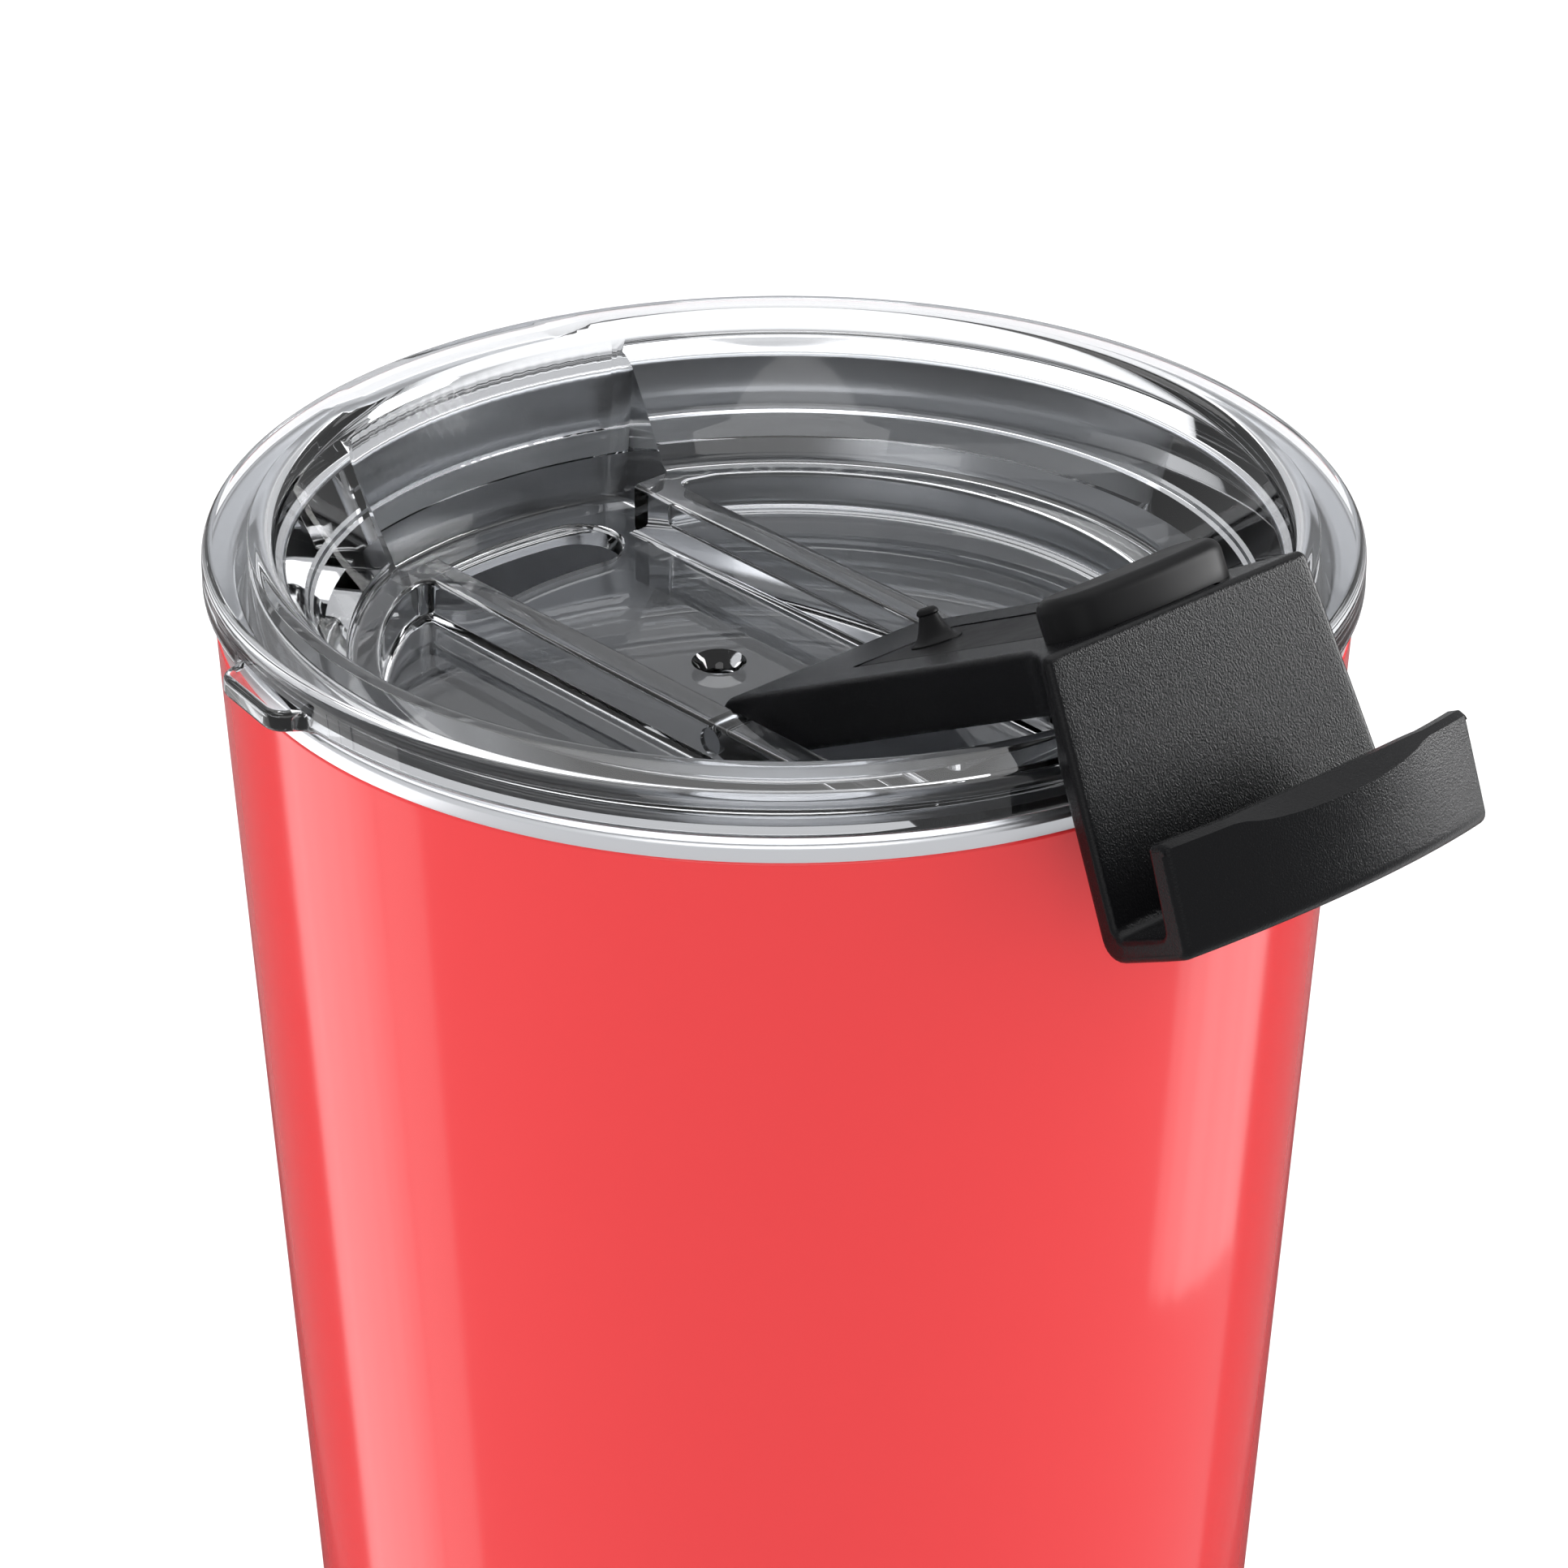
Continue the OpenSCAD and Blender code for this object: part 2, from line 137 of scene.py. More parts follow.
def outward(outline: Sequence[Point2]) -> list[Vector]:
    """Mitred outward normals of a closed outline that runs anticlockwise.

    Args:
        outline: the outline's points.

    Returns:
        One vector for each point, which moves both of its edges out by 1.
    """
    normals = []
    count = len(outline)
    for i in range(count):
        before, here, after = (Vector(outline[j % count]) for j in (i - 1, i, i + 1))
        a = here - before
        b = after - here
        na, nb = Vector((a.y, -a.x)).normalized(), Vector((b.y, -b.x)).normalized()
        mid = (na + nb).normalized() if (na + nb).length > 1e-6 else na
        normals.append(mid / max(MITRE_LIMIT, mid.dot(na)))
    return normals


def anticlockwise(outline: Sequence[Point2]) -> list[Point2]:
    """The same outline, run anticlockwise."""
    area = sum(
        a[0] * b[1] - b[0] * a[1] for a, b in zip(outline, [*outline[1:], outline[0]])
    )
    return list(outline) if area > 0 else list(reversed(outline))


def band_outline(r: float, half_w: float, half_deg: float) -> list[Point2]:
    """Outline of a curved band with round ends, centred on -X.

    Args:
        r: radius of the band's middle.
        half_w: half of its width.
        half_deg: half of the angle between the centres of its ends.

    Returns:
        The outline's points, anticlockwise.
    """
    a, b = 180 - half_deg, 180 + half_deg
    ends = [(r * math.cos(math.radians(t)), r * math.sin(math.radians(t))) for t in (a, b)]
    return [
        *arc(0, 0, r + half_w, a, b, 12),
        *arc(ends[1][0], ends[1][1], half_w, b, b + 180, 12)[1:-1],
        *arc(0, 0, r - half_w, b, a, 12),
        *arc(ends[0][0], ends[0][1], half_w, a - 180, a, 12)[1:-1],
    ]


# ---------------------------------------------------------------- meshes

def in_scene(name: str, data: bpy.types.ID) -> bpy.types.Object:
    """Puts a mesh, a light or a camera in the scene.

    Args:
        name: the object's name.
        data: the mesh, light or camera.

    Returns:
        The object.
    """
    made = bpy.data.objects.new(name, data)
    bpy.context.scene.collection.objects.link(made)
    return made


def mesh_object(
    name: str, verts: Sequence[Point3], faces: Sequence[Sequence[int]]
) -> bpy.types.Object:
    """A mesh object in the scene from points in millimetres.

    Args:
        name: the object's name.
        verts: the points, in millimetres.
        faces: the faces, as point numbers.

    Returns:
        The object, with merged doubles and outward faces.
    """
    mesh = bpy.data.meshes.new(name)
    mesh.from_pydata([tuple(c * MM for c in v) for v in verts], [], faces)
    tidy_mesh(mesh)
    return in_scene(name, mesh)


def tidy_mesh(mesh: bpy.types.Mesh, gap: float = 2e-7) -> None:
    """Merges doubles and turns the faces of a closed mesh outwards.

    Args:
        mesh: the mesh, changed in place.
        gap: the merging distance, in metres.
    """
    work = bmesh.new()
    work.from_mesh(mesh)
    bmesh.ops.remove_doubles(work, verts=work.verts, dist=gap)
    bmesh.ops.dissolve_degenerate(work, edges=work.edges, dist=gap)
    bmesh.ops.delete(work, geom=[e for e in work.edges if not e.link_faces], context="EDGES")
    bmesh.ops.delete(work, geom=[v for v in work.verts if not v.link_faces], context="VERTS")
    bmesh.ops.recalc_face_normals(work, faces=work.faces)
    work.to_mesh(mesh)
    work.free()
    mesh.update()


def stacked(name: str, rings: Sequence[Sequence[Point3]]) -> bpy.types.Object:
    """A closed solid from rings of equal point count, capped at both ends.

    Args:
        name: the object's name.
        rings: the rings from one end to the other, in millimetres.

    Returns:
        The solid.
    """
    n = len(rings[0])
    verts = [p for ring in rings for p in ring]
    faces: list[Sequence[int]] = []
    for k in range(len(rings) - 1):
        for i in range(n):
            j = (i + 1) % n
            faces.append((k * n + i, k * n + j, (k + 1) * n + j, (k + 1) * n + i))
    faces.append(list(reversed(range(n))))
    faces.append([(len(rings) - 1) * n + i for i in range(n)])
    return mesh_object(name, verts, faces)


def prism(
    name: str,
    outline: Sequence[Point2],
    low: float,
    high: float,
    foot: float = 0.0,
    crown: float = 0.0,
    flare: float = 0.0,
    flare_at: float | None = None,
) -> bpy.types.Object:
    """An upright solid on an outline, with rounded ends or a flared mouth.

    Args:
        name: the object's name.
        outline: the outline in X and Y, in millimetres.
        low: height of the lower end.
        high: height of the upper end.
        foot: radius round the lower edge.
        crown: radius round the upper edge.
        flare: radius of the outward flare below flare_at, for a cutter.
        flare_at: the height at which the flare has opened out.

    Returns:
        The solid.
    """
    outline = anticlockwise(outline)
    normals = outward(outline)
    levels: list[tuple[float, float]] = []
    quarter = [math.radians(90 * k / EDGE_STEPS) for k in range(EDGE_STEPS + 1)]
    if foot > 0:
        for a in quarter:
            levels.append((low + foot - foot * math.cos(a), -foot + foot * math.sin(a)))
    else:
        levels.append((low, 0.0))
    if flare > 0 and flare_at is not None:
        for k in range(EDGE_STEPS + 1):
            a = math.radians(FLARE_SWEEP * k / EDGE_STEPS)
            levels.append((flare_at - flare + flare * math.sin(a), flare * (1 - math.cos(a))))
        levels.append((max(high, flare_at + FLARE_RISE), levels[-1][1] + FLARE_SPREAD))
    elif crown > 0:
        for a in quarter:
            levels.append((high - crown + crown * math.sin(a), -crown + crown * math.cos(a)))
    else:
        levels.append((high, 0.0))
    rings = []
    for z, off in levels:
        rings.append([(p[0] + n.x * off, p[1] + n.y * off, z) for p, n in zip(outline, normals)])
    return stacked(name, rings)


def baked(obj: bpy.types.Object) -> bpy.types.Object:
    """Makes an object's modifiers part of its mesh.

    Args:
        obj: the object, whose modifiers are then removed.

    Returns:
        The same object.
    """
    graph = bpy.context.evaluated_depsgraph_get()
    graph.update()
    old = obj.data
    made = bpy.data.meshes.new_from_object(obj.evaluated_get(graph))
    made.name = obj.name
    obj.modifiers.clear()
    obj.data = made
    if old.users == 0:
        bpy.data.meshes.remove(old)
    return obj


class Cut(Enum):
    """How a second solid changes the first."""

    AWAY = "DIFFERENCE"
    ONTO = "UNION"


def combined(
    obj: bpy.types.Object, tool: bpy.types.Object, how: Cut = Cut.AWAY
) -> bpy.types.Object:
    """Cuts a solid from another, or joins the two.

    Args:
        obj: the solid that is kept.
        tool: the other solid, which is removed afterwards.
        how: whether it is cut away or joined on.

    Returns:
        The first solid, changed.
    """
    for solid in (obj, tool):
        solid.data.transform(Matrix.Scale(1 / MM, 4))
    step = obj.modifiers.new("combine", "BOOLEAN")
    step.operation = how.value
    step.solver = "MANIFOLD"
    step.object = tool
    baked(obj)
    obj.data.transform(Matrix.Scale(MM, 4))
    spare = tool.data
    bpy.data.objects.remove(tool)
    bpy.data.meshes.remove(spare)
    return obj


def turned_over(obj: bpy.types.Object, matrix: Matrix) -> bpy.types.Object:
    """Moves a piece by changing its mesh, so that the object stays at the origin."""
    obj.data.transform(matrix)
    obj.data.update()
    return obj


def soften(obj: bpy.types.Object, angle: float = 32.0, weighted: bool = True) -> bpy.types.Object:
    """Shades a piece smooth apart from its real edges.

    Args:
        obj: the piece.
        angle: edges that turn by more than this many degrees stay crisp.
        weighted: whether large faces keep their own normal.

    Returns:
        The piece.
    """
    obj.data.shade_smooth()
    obj.data.set_sharp_from_angle(angle=math.radians(angle))
    if weighted:
        step = obj.modifiers.new("face_weight", "WEIGHTED_NORMAL")
        step.keep_sharp = True
        step.weight = 60
    return obj


# ---------------------------------------------------------------- turned pieces

class TurnedTree:
    """Geometry Nodes tree that turns a profile about the Z axis."""

    NAME = "turned_piece"

    def __init__(self) -> None:
        """Builds the tree once."""
        self.tree = bpy.data.node_groups.new(self.NAME, "GeometryNodeTree")
        self.sockets: dict[str, str] = {}
        self._interface()
        self._nodes()

    def _interface(self) -> None:
        """Adds the named inputs and the output."""
        face = self.tree.interface
        face.new_socket("Profile", in_out="INPUT", socket_type="NodeSocketGeometry")
        steps = face.new_socket("Steps round", in_out="INPUT", socket_type="NodeSocketInt")
        steps.default_value = 160
        finish = face.new_socket("Finish", in_out="INPUT", socket_type="NodeSocketMaterial")
        face.new_socket("Piece", in_out="OUTPUT", socket_type="NodeSocketGeometry")
        self.sockets = {"Steps round": steps.identifier, "Finish": finish.identifier}

    def _math(
        self, operation: str, a: bpy.types.NodeSocket, b: bpy.types.NodeSocket | float = 0.0
    ) -> bpy.types.NodeSocket:
        """A maths node on two values.

        Args:
            operation: Blender's name of the operation.
            a: the first value.
            b: the second value, a socket or a number.

        Returns:
            The result's socket.
        """
        made = self.tree.nodes.new("ShaderNodeMath")
        made.operation = operation
        self.tree.links.new(a, made.inputs[0])
        if isinstance(b, (int, float)):
            made.inputs[1].default_value = b
        else:
            self.tree.links.new(b, made.inputs[1])
        return made.outputs[0]

    def _nodes(self) -> None:
        """Lays a grid, wraps it round the axis and closes its seam."""
        tree, link = self.tree, self.tree.links.new
        entry = tree.nodes.new("NodeGroupInput")
        leave = tree.nodes.new("NodeGroupOutput")
        size = tree.nodes.new("GeometryNodeAttributeDomainSize")
        link(entry.outputs["Profile"], size.inputs[0])
        around = self._math("ADD", entry.outputs["Steps round"], 1.0)
        grid = tree.nodes.new("GeometryNodeMeshGrid")
        link(size.outputs["Point Count"], grid.inputs["Vertices X"])
        link(around, grid.inputs["Vertices Y"])
        index = tree.nodes.new("GeometryNodeInputIndex").outputs[0]
        row = self._math("FLOOR", self._math("DIVIDE", index, around))
        column = self._math("SUBTRACT", index, self._math("MULTIPLY", row, around))
        share = self._math("DIVIDE", column, entry.outputs["Steps round"])
        angle = self._math("MULTIPLY", share, math.tau)
        place = tree.nodes.new("GeometryNodeInputPosition").outputs[0]
        sample = tree.nodes.new("GeometryNodeSampleIndex")
        sample.data_type = "FLOAT_VECTOR"
        sample.domain = "POINT"
        link(entry.outputs["Profile"], sample.inputs["Geometry"])
        link(place, sample.inputs["Value"])
        link(row, sample.inputs["Index"])
        split = tree.nodes.new("ShaderNodeSeparateXYZ")
        link(sample.outputs["Value"], split.inputs[0])
        join = tree.nodes.new("ShaderNodeCombineXYZ")
        for axis, wave in (("X", "COSINE"), ("Y", "SINE")):
            swung = self._math("MULTIPLY", split.outputs["X"], self._math(wave, angle))
            link(swung, join.inputs[axis])
        link(split.outputs["Z"], join.inputs["Z"])
        wrap = tree.nodes.new("GeometryNodeSetPosition")
        link(grid.outputs["Mesh"], wrap.inputs["Geometry"])
        link(join.outputs[0], wrap.inputs["Position"])
        merge = tree.nodes.new("GeometryNodeMergeByDistance")
        merge.inputs["Distance"].default_value = 1e-6
        link(wrap.outputs[0], merge.inputs["Geometry"])
        real = tree.nodes.new("GeometryNodeRealizeInstances")
        link(merge.outputs[0], real.inputs["Geometry"])
        paint = tree.nodes.new("GeometryNodeSetMaterial")
        link(real.outputs[0], paint.inputs["Geometry"])
        link(entry.outputs["Finish"], paint.inputs["Material"])
        link(paint.outputs[0], leave.inputs[0])

    def make(
        self, name: str, profile: Sequence[Point2], material: bpy.types.Material, steps: int = 160
    ) -> bpy.types.Object:
        """Turns a closed profile into a solid ring or disc.

        Args:
            name: the piece's name.
            profile: radius and height of each point, in millimetres.
            material: the piece's finish.
            steps: straight steps round the axis.

        Returns:
            The finished piece.
        """
        points = [(r * MM, 0.0, z * MM) for r, z in profile]
        points.append(points[0])
        edges = [(i, i + 1) for i in range(len(points) - 1)]
        mesh = bpy.data.meshes.new(name)
        mesh.from_pydata(points, edges, [])
        made = in_scene(name, mesh)
        turn = made.modifiers.new("turn", "NODES")
        turn.node_group = self.tree
        turn[self.sockets["Steps round"]] = steps
        turn[self.sockets["Finish"]] = material
        baked(made)
        tidy_mesh(made.data, 1e-6)
        return made


# ---------------------------------------------------------------- shared effects

class Effects:
    """Node groups that several finishes share."""

    def __init__(self) -> None:
        """Builds each group once."""
        self.grain = self._even_group("moulded_grain", 2600.0, 2.0, 0.62)
        self.wear = self._even_group("handling_marks", 90.0, 4.0, 0.6)
        self.turning = self._turning_group()

    def _noisy(
        self, name: str, scale: float, detail: float
    ) -> tuple[bpy.types.NodeTree, bpy.types.Node]:
        """A group whose noise gives a height, and a value between two limits.

        Args:
            name: the group's name.
            scale: cells per metre.
            detail: octaves.

        Returns:
            The group, with inputs Scale, Low and High and outputs Height and Value, and its
            noise node, whose Vector is still open.
        """
        group = bpy.data.node_groups.new(name, "ShaderNodeTree")
        face, kind = group.interface, "NodeSocketFloat"
        for label, value in (("Scale", scale), ("Low", 0.2), ("High", 0.4)):
            socket = face.new_socket(label, in_out="INPUT", socket_type=kind)
            socket.default_value = value
        for label in ("Height", "Value"):
            face.new_socket(label, in_out="OUTPUT", socket_type=kind)
        entry, leave = group.nodes.new("NodeGroupInput"), group.nodes.new("NodeGroupOutput")
        noise = group.nodes.new("ShaderNodeTexNoise")
        noise.inputs["Detail"].default_value = detail
        spread = group.nodes.new("ShaderNodeMapRange")
        spread.inputs["From Min"].default_value, spread.inputs["From Max"].default_value = 0.3, 0.7
        link = group.links.new
        link(entry.outputs["Scale"], noise.inputs["Scale"])
        link(noise.outputs["Fac"], spread.inputs["Value"])
        link(entry.outputs["Low"], spread.inputs["To Min"])
        link(entry.outputs["High"], spread.inputs["To Max"])
        link(noise.outputs["Fac"], leave.inputs["Height"])
        link(spread.outputs["Result"], leave.inputs["Value"])
        return group, noise

    def _even_group(
        self, name: str, scale: float, detail: float, rough: float
    ) -> bpy.types.NodeTree:
        """Noise that is alike in every direction.

        Args:
            name: the group's name.
            scale: cells per metre.
            detail: octaves.
            rough: weight of the finer octaves.

        Returns:
            The group.
        """
        group, noise = self._noisy(name, scale, detail)
        noise.inputs["Roughness"].default_value = rough
        where = group.nodes.new("ShaderNodeTexCoord")
        group.links.new(where.outputs["Object"], noise.inputs["Vector"])
        return group

    def _turning_group(self) -> bpy.types.NodeTree:
        """Fine lines round the axis, as on turned or spun steel.

        Returns:
            The group.
        """
        group, noise = self._noisy("turning_lines", 900.0, 3.0)
        where = group.nodes.new("ShaderNodeTexCoord")
        split = group.nodes.new("ShaderNodeSeparateXYZ")
        flat = group.nodes.new("ShaderNodeCombineXYZ")
        length = group.nodes.new("ShaderNodeVectorMath")
        length.operation = "LENGTH"
        line = group.nodes.new("ShaderNodeCombineXYZ")
        link = group.links.new
        link(where.outputs["Object"], split.inputs[0])
        link(split.outputs["X"], flat.inputs["X"])
        link(split.outputs["Y"], flat.inputs["Y"])
        link(flat.outputs[0], length.inputs[0])
        link(length.outputs["Value"], line.inputs["X"])
        link(split.outputs["Z"], line.inputs["Z"])
        link(line.outputs[0], noise.inputs["Vector"])
        return group


class Texture(Enum):
    """The shared effect that a finish carries."""

    GRAIN = "grain"
    WEAR = "wear"
    TURNING = "turning"


@dataclass(frozen=True)
class Finish:
    """One surface finish."""

    name: str
    colour: Colour
    metallic: float = 0.0
    rough: tuple[float, float] = (0.3, 0.4)
    texture: Texture = Texture.WEAR
    scale: float = 90.0
    bump: float = 0.0
    bump_depth: float = 0.00002
    coat: float = 0.0
    coat_rough: float = 0.03
    transmission: float = 0.0
    ior: float = 1.5
    specular: float = 0.5

    def build(self, effects: Effects) -> bpy.types.Material:
        """Makes the material.

        Args:
            effects: the shared node groups.

        Returns:
            The material.
        """
        made = bpy.data.materials.new(self.name)
        made.use_nodes = True
        tree = made.node_tree
        skin = tree.nodes["Principled BSDF"]
        skin.inputs["Base Color"].default_value = self.colour
        skin.inputs["Metallic"].default_value = self.metallic
        skin.inputs["IOR"].default_value = self.ior
        skin.inputs["Transmission Weight"].default_value = self.transmission
        skin.inputs["Coat Weight"].default_value = self.coat
        skin.inputs["Coat Roughness"].default_value = self.coat_rough
        skin.inputs["Specular IOR Level"].default_value = self.specular
        made.diffuse_color = self.colour
        effect = tree.nodes.new("ShaderNodeGroup")
        effect.node_tree = getattr(effects, self.texture.value)
        effect.inputs["Scale"].default_value = self.scale
        effect.inputs["Low"].default_value, effect.inputs["High"].default_value = self.rough
        tree.links.new(effect.outputs["Value"], skin.inputs["Roughness"])
        if self.bump > 0:
            bump = tree.nodes.new("ShaderNodeBump")
            bump.inputs["Strength"].default_value = self.bump
            bump.inputs["Distance"].default_value = self.bump_depth
            tree.links.new(effect.outputs["Height"], bump.inputs["Height"])
            tree.links.new(bump.outputs["Normal"], skin.inputs["Normal"])
        return made


@dataclass
class Workshop:
    """What every sub-assembly needs: the turning tree and the finishes."""

    effects: Effects = field(default_factory=Effects)
    turning: TurnedTree = field(default_factory=TurnedTree)
    made: dict[str, bpy.types.Material] = field(default_factory=dict)

    def finish(self, wanted: Finish) -> bpy.types.Material:
        """The material of a finish, built once."""
        if wanted.name not in self.made:
            self.made[wanted.name] = wanted.build(self.effects)
        return self.made[wanted.name]


CORAL = Finish("coral_gloss_paint", (0.785, 0.043, 0.047, 1), rough=(0.10, 0.13), scale=140.0)
STEEL = Finish("turned_steel", (0.87, 0.88, 0.90, 1), 1.0, (0.28, 0.36), Texture.TURNING, 1400.0,
               bump=0.05, bump_depth=0.00001)
LIP_STEEL = Finish("polished_steel", (0.66, 0.67, 0.69, 1), 1.0, (0.1, 0.18), Texture.TURNING,
                   1200.0)
CLEAR = Finish("clear_plastic", (0.88, 0.89, 0.905, 1), rough=(0.005, 0.03), scale=60.0,
               transmission=1.0, ior=1.53)
SILICONE = Finish("pale_silicone", (0.80, 0.81, 0.82, 1), rough=(0.4, 0.5), transmission=0.5,
                  ior=1.41)
LEVER_BLACK = Finish("moulded_black", (0.0052, 0.0052, 0.0058, 1), 0.0, (0.18, 0.28), Texture.GRAIN,
                     6500.0, bump=0.5, bump_depth=0.00008, specular=0.12)
SEAL_BLACK = Finish("satin_black", (0.009, 0.009, 0.0095, 1), 0.0, (0.34, 0.42), Texture.WEAR,
                    220.0, specular=0.06)
FOIL = Finish("copper_foil", (0.78, 0.42, 0.27, 1), 1.0, (0.2, 0.34), Texture.WEAR, 400.0,
              bump=0.4, bump_depth=0.0002)
BEAD = Finish("fused_glass", (0.10, 0.17, 0.14, 1), rough=(0.08, 0.16), coat=0.4)
GETTER = Finish("pressed_powder", (0.16, 0.16, 0.17, 1), 0.3, (0.6, 0.8), Texture.GRAIN, 1500.0,
                bump=0.5, bump_depth=0.0001)


def fit(obj: bpy.types.Object, body: str, slot: str, *stands_for: str) -> bpy.types.Object:
    """Hands a finished piece to its body.

    Args:
        obj: the piece.
        body: the CAD body that it moves with.
        slot: the record's material slot; not used.
        stands_for: the CAD nodes that it replaces.

    Returns:
        The piece.
    """
    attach(obj, body)
    if stands_for:
        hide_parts(*stands_for)
    LOG.info("%s: %d faces on %s", obj.name, len(obj.data.polygons), body)
    return obj


def dress(obj: bpy.types.Object, material: bpy.types.Material) -> None:
    """Gives a piece one finish."""
    obj.data.materials.clear()
    obj.data.materials.append(material)


# ---------------------------------------------------------------- vessel

@dataclass
class Vessel:
    """Painted outer wall, steel cup with its lip, base cap and hidden pieces."""

    height: float = 168.0
    mouth_r: float = 46.0
    foot_r: float = 36.0
    sheet: float = 0.6
    lip_w: float = 2.8
    band: float = 2.0
    gap: float = 3.4
    floor: float = 9.0
    floor_round: float = 6.0
    foot_round: float = 3.0
    foot_ring: float = 5.0

    def wall_r(self, z: float) -> float:
        """Outside radius of the painted wall at height z."""
        return self.foot_r + (self.mouth_r - self.foot_r) * z / self.height

    def liner_r(self, z: float) -> float:
        """Inside radius of the steel cup at height z."""
        top = self.height - self.band
        mouth, foot = self.mouth_r - self.lip_w, self.foot_r - 2 * self.sheet - self.gap
        return mouth - (mouth - foot) * (top - z) / (top - self.floor)

    def shell_profile(self) -> list[Point2]:
        """Profile of the painted wall, with a rounded foot and a rounded paint edge."""
        top, ring = self.height - self.band, 0.5
        cap_r = self.foot_r - self.foot_ring
        edge = self.wall_r(self.foot_round) - self.foot_round
        side = self.wall_r(top)
        wall = [(self.wall_r(z), z) for z in (30.0, 70.0, 110.0, 150.0, top - 1.2)]
        return [
            *arc(cap_r + 0.3, ring + 0.3, 0.3, 180, 270, 3),
            *arc(edge, self.foot_round + ring, self.foot_round, -90, 0, 10),
            *wall,
            *arc(side - 0.3, top - 0.3, 0.3, 0, 90, 4),
            (side - self.sheet, top),
            *arc(edge, self.foot_round + ring, self.foot_round - self.sheet, 0, -90, 8),
            (cap_r, ring + self.sheet),
        ]

    def cup_profile(self) -> list[Point2]:
        """Profile of the steel cup, closed at the axis, with its rolled lip."""
        top = self.height - self.band
        low = self.floor + self.floor_round
        corner = self.liner_r(low) - self.floor_round
        side = self.wall_r(top)
        lip_r = self.mouth_r - 0.05
        return [
            (0.0, self.floor - self.sheet),
            *arc(corner, low, self.floor_round + self.sheet, -90, 0, 10),
            (self.mouth_r - self.lip_w + self.sheet, top - 0.5),
            (side - 0.12, top - 0.5), (side - 0.12, top + 0.25),
            *arc(lip_r - 0.55, self.height - 0.95, 0.55, 0, 90, 6),
            (self.mouth_r - self.lip_w + 1.0, self.height - 0.32),
            *arc(self.mouth_r - self.lip_w + 0.8, self.height - 1.12, 0.8, 90, 180, 6),
            (self.liner_r(top), top - 0.4),
            *[(self.liner_r(z), z) for z in (160.0, 120.0, 80.0, 40.0)],
            *arc(corner, low, self.floor_round, 0, -90, 10),
            (0.0, self.floor),
        ]

    def build(self, shop: Workshop, nodes: dict[str, bpy.types.Object]) -> None:
        """Makes and places the vessel's pieces.

        Args:
            shop: the turning tree and finishes.
            nodes: the CAD nodes.
        """
        wall = shop.turning.make("painted_wall", self.shell_profile(), shop.finish(CORAL), 256)
        fit(soften(wall), "vessel", "coral_paint", "outer_shell")
        cup = shop.turning.make("steel_cup", self.cup_profile(), shop.finish(STEEL), 224)
        fit(soften(cup), "vessel", "steel", "inner_liner", "liner_base")
        cap_r = self.foot_r - self.foot_ring - 0.2
        cap = shop.turning.make(
            "foot_cap",
            [(0.0, 0.0), *arc(cap_r - 0.4, 0.4, 0.4, -90, 0, 4), (cap_r, 1.1), (0.0, 1.1)],
            shop.finish(LIP_STEEL), 160)
        fit(soften(cap), "vessel", "steel", "base_cap")
        for name, kind in (
            ("outer_base", STEEL), ("vacuum_seal", BEAD), ("getter_pellet", GETTER),
            ("getter_cup", STEEL), ("foil_wrap", FOIL), ("foil_disc", FOIL),
        ):
            dress(nodes[name], shop.finish(kind))


# ---------------------------------------------------------------- lid

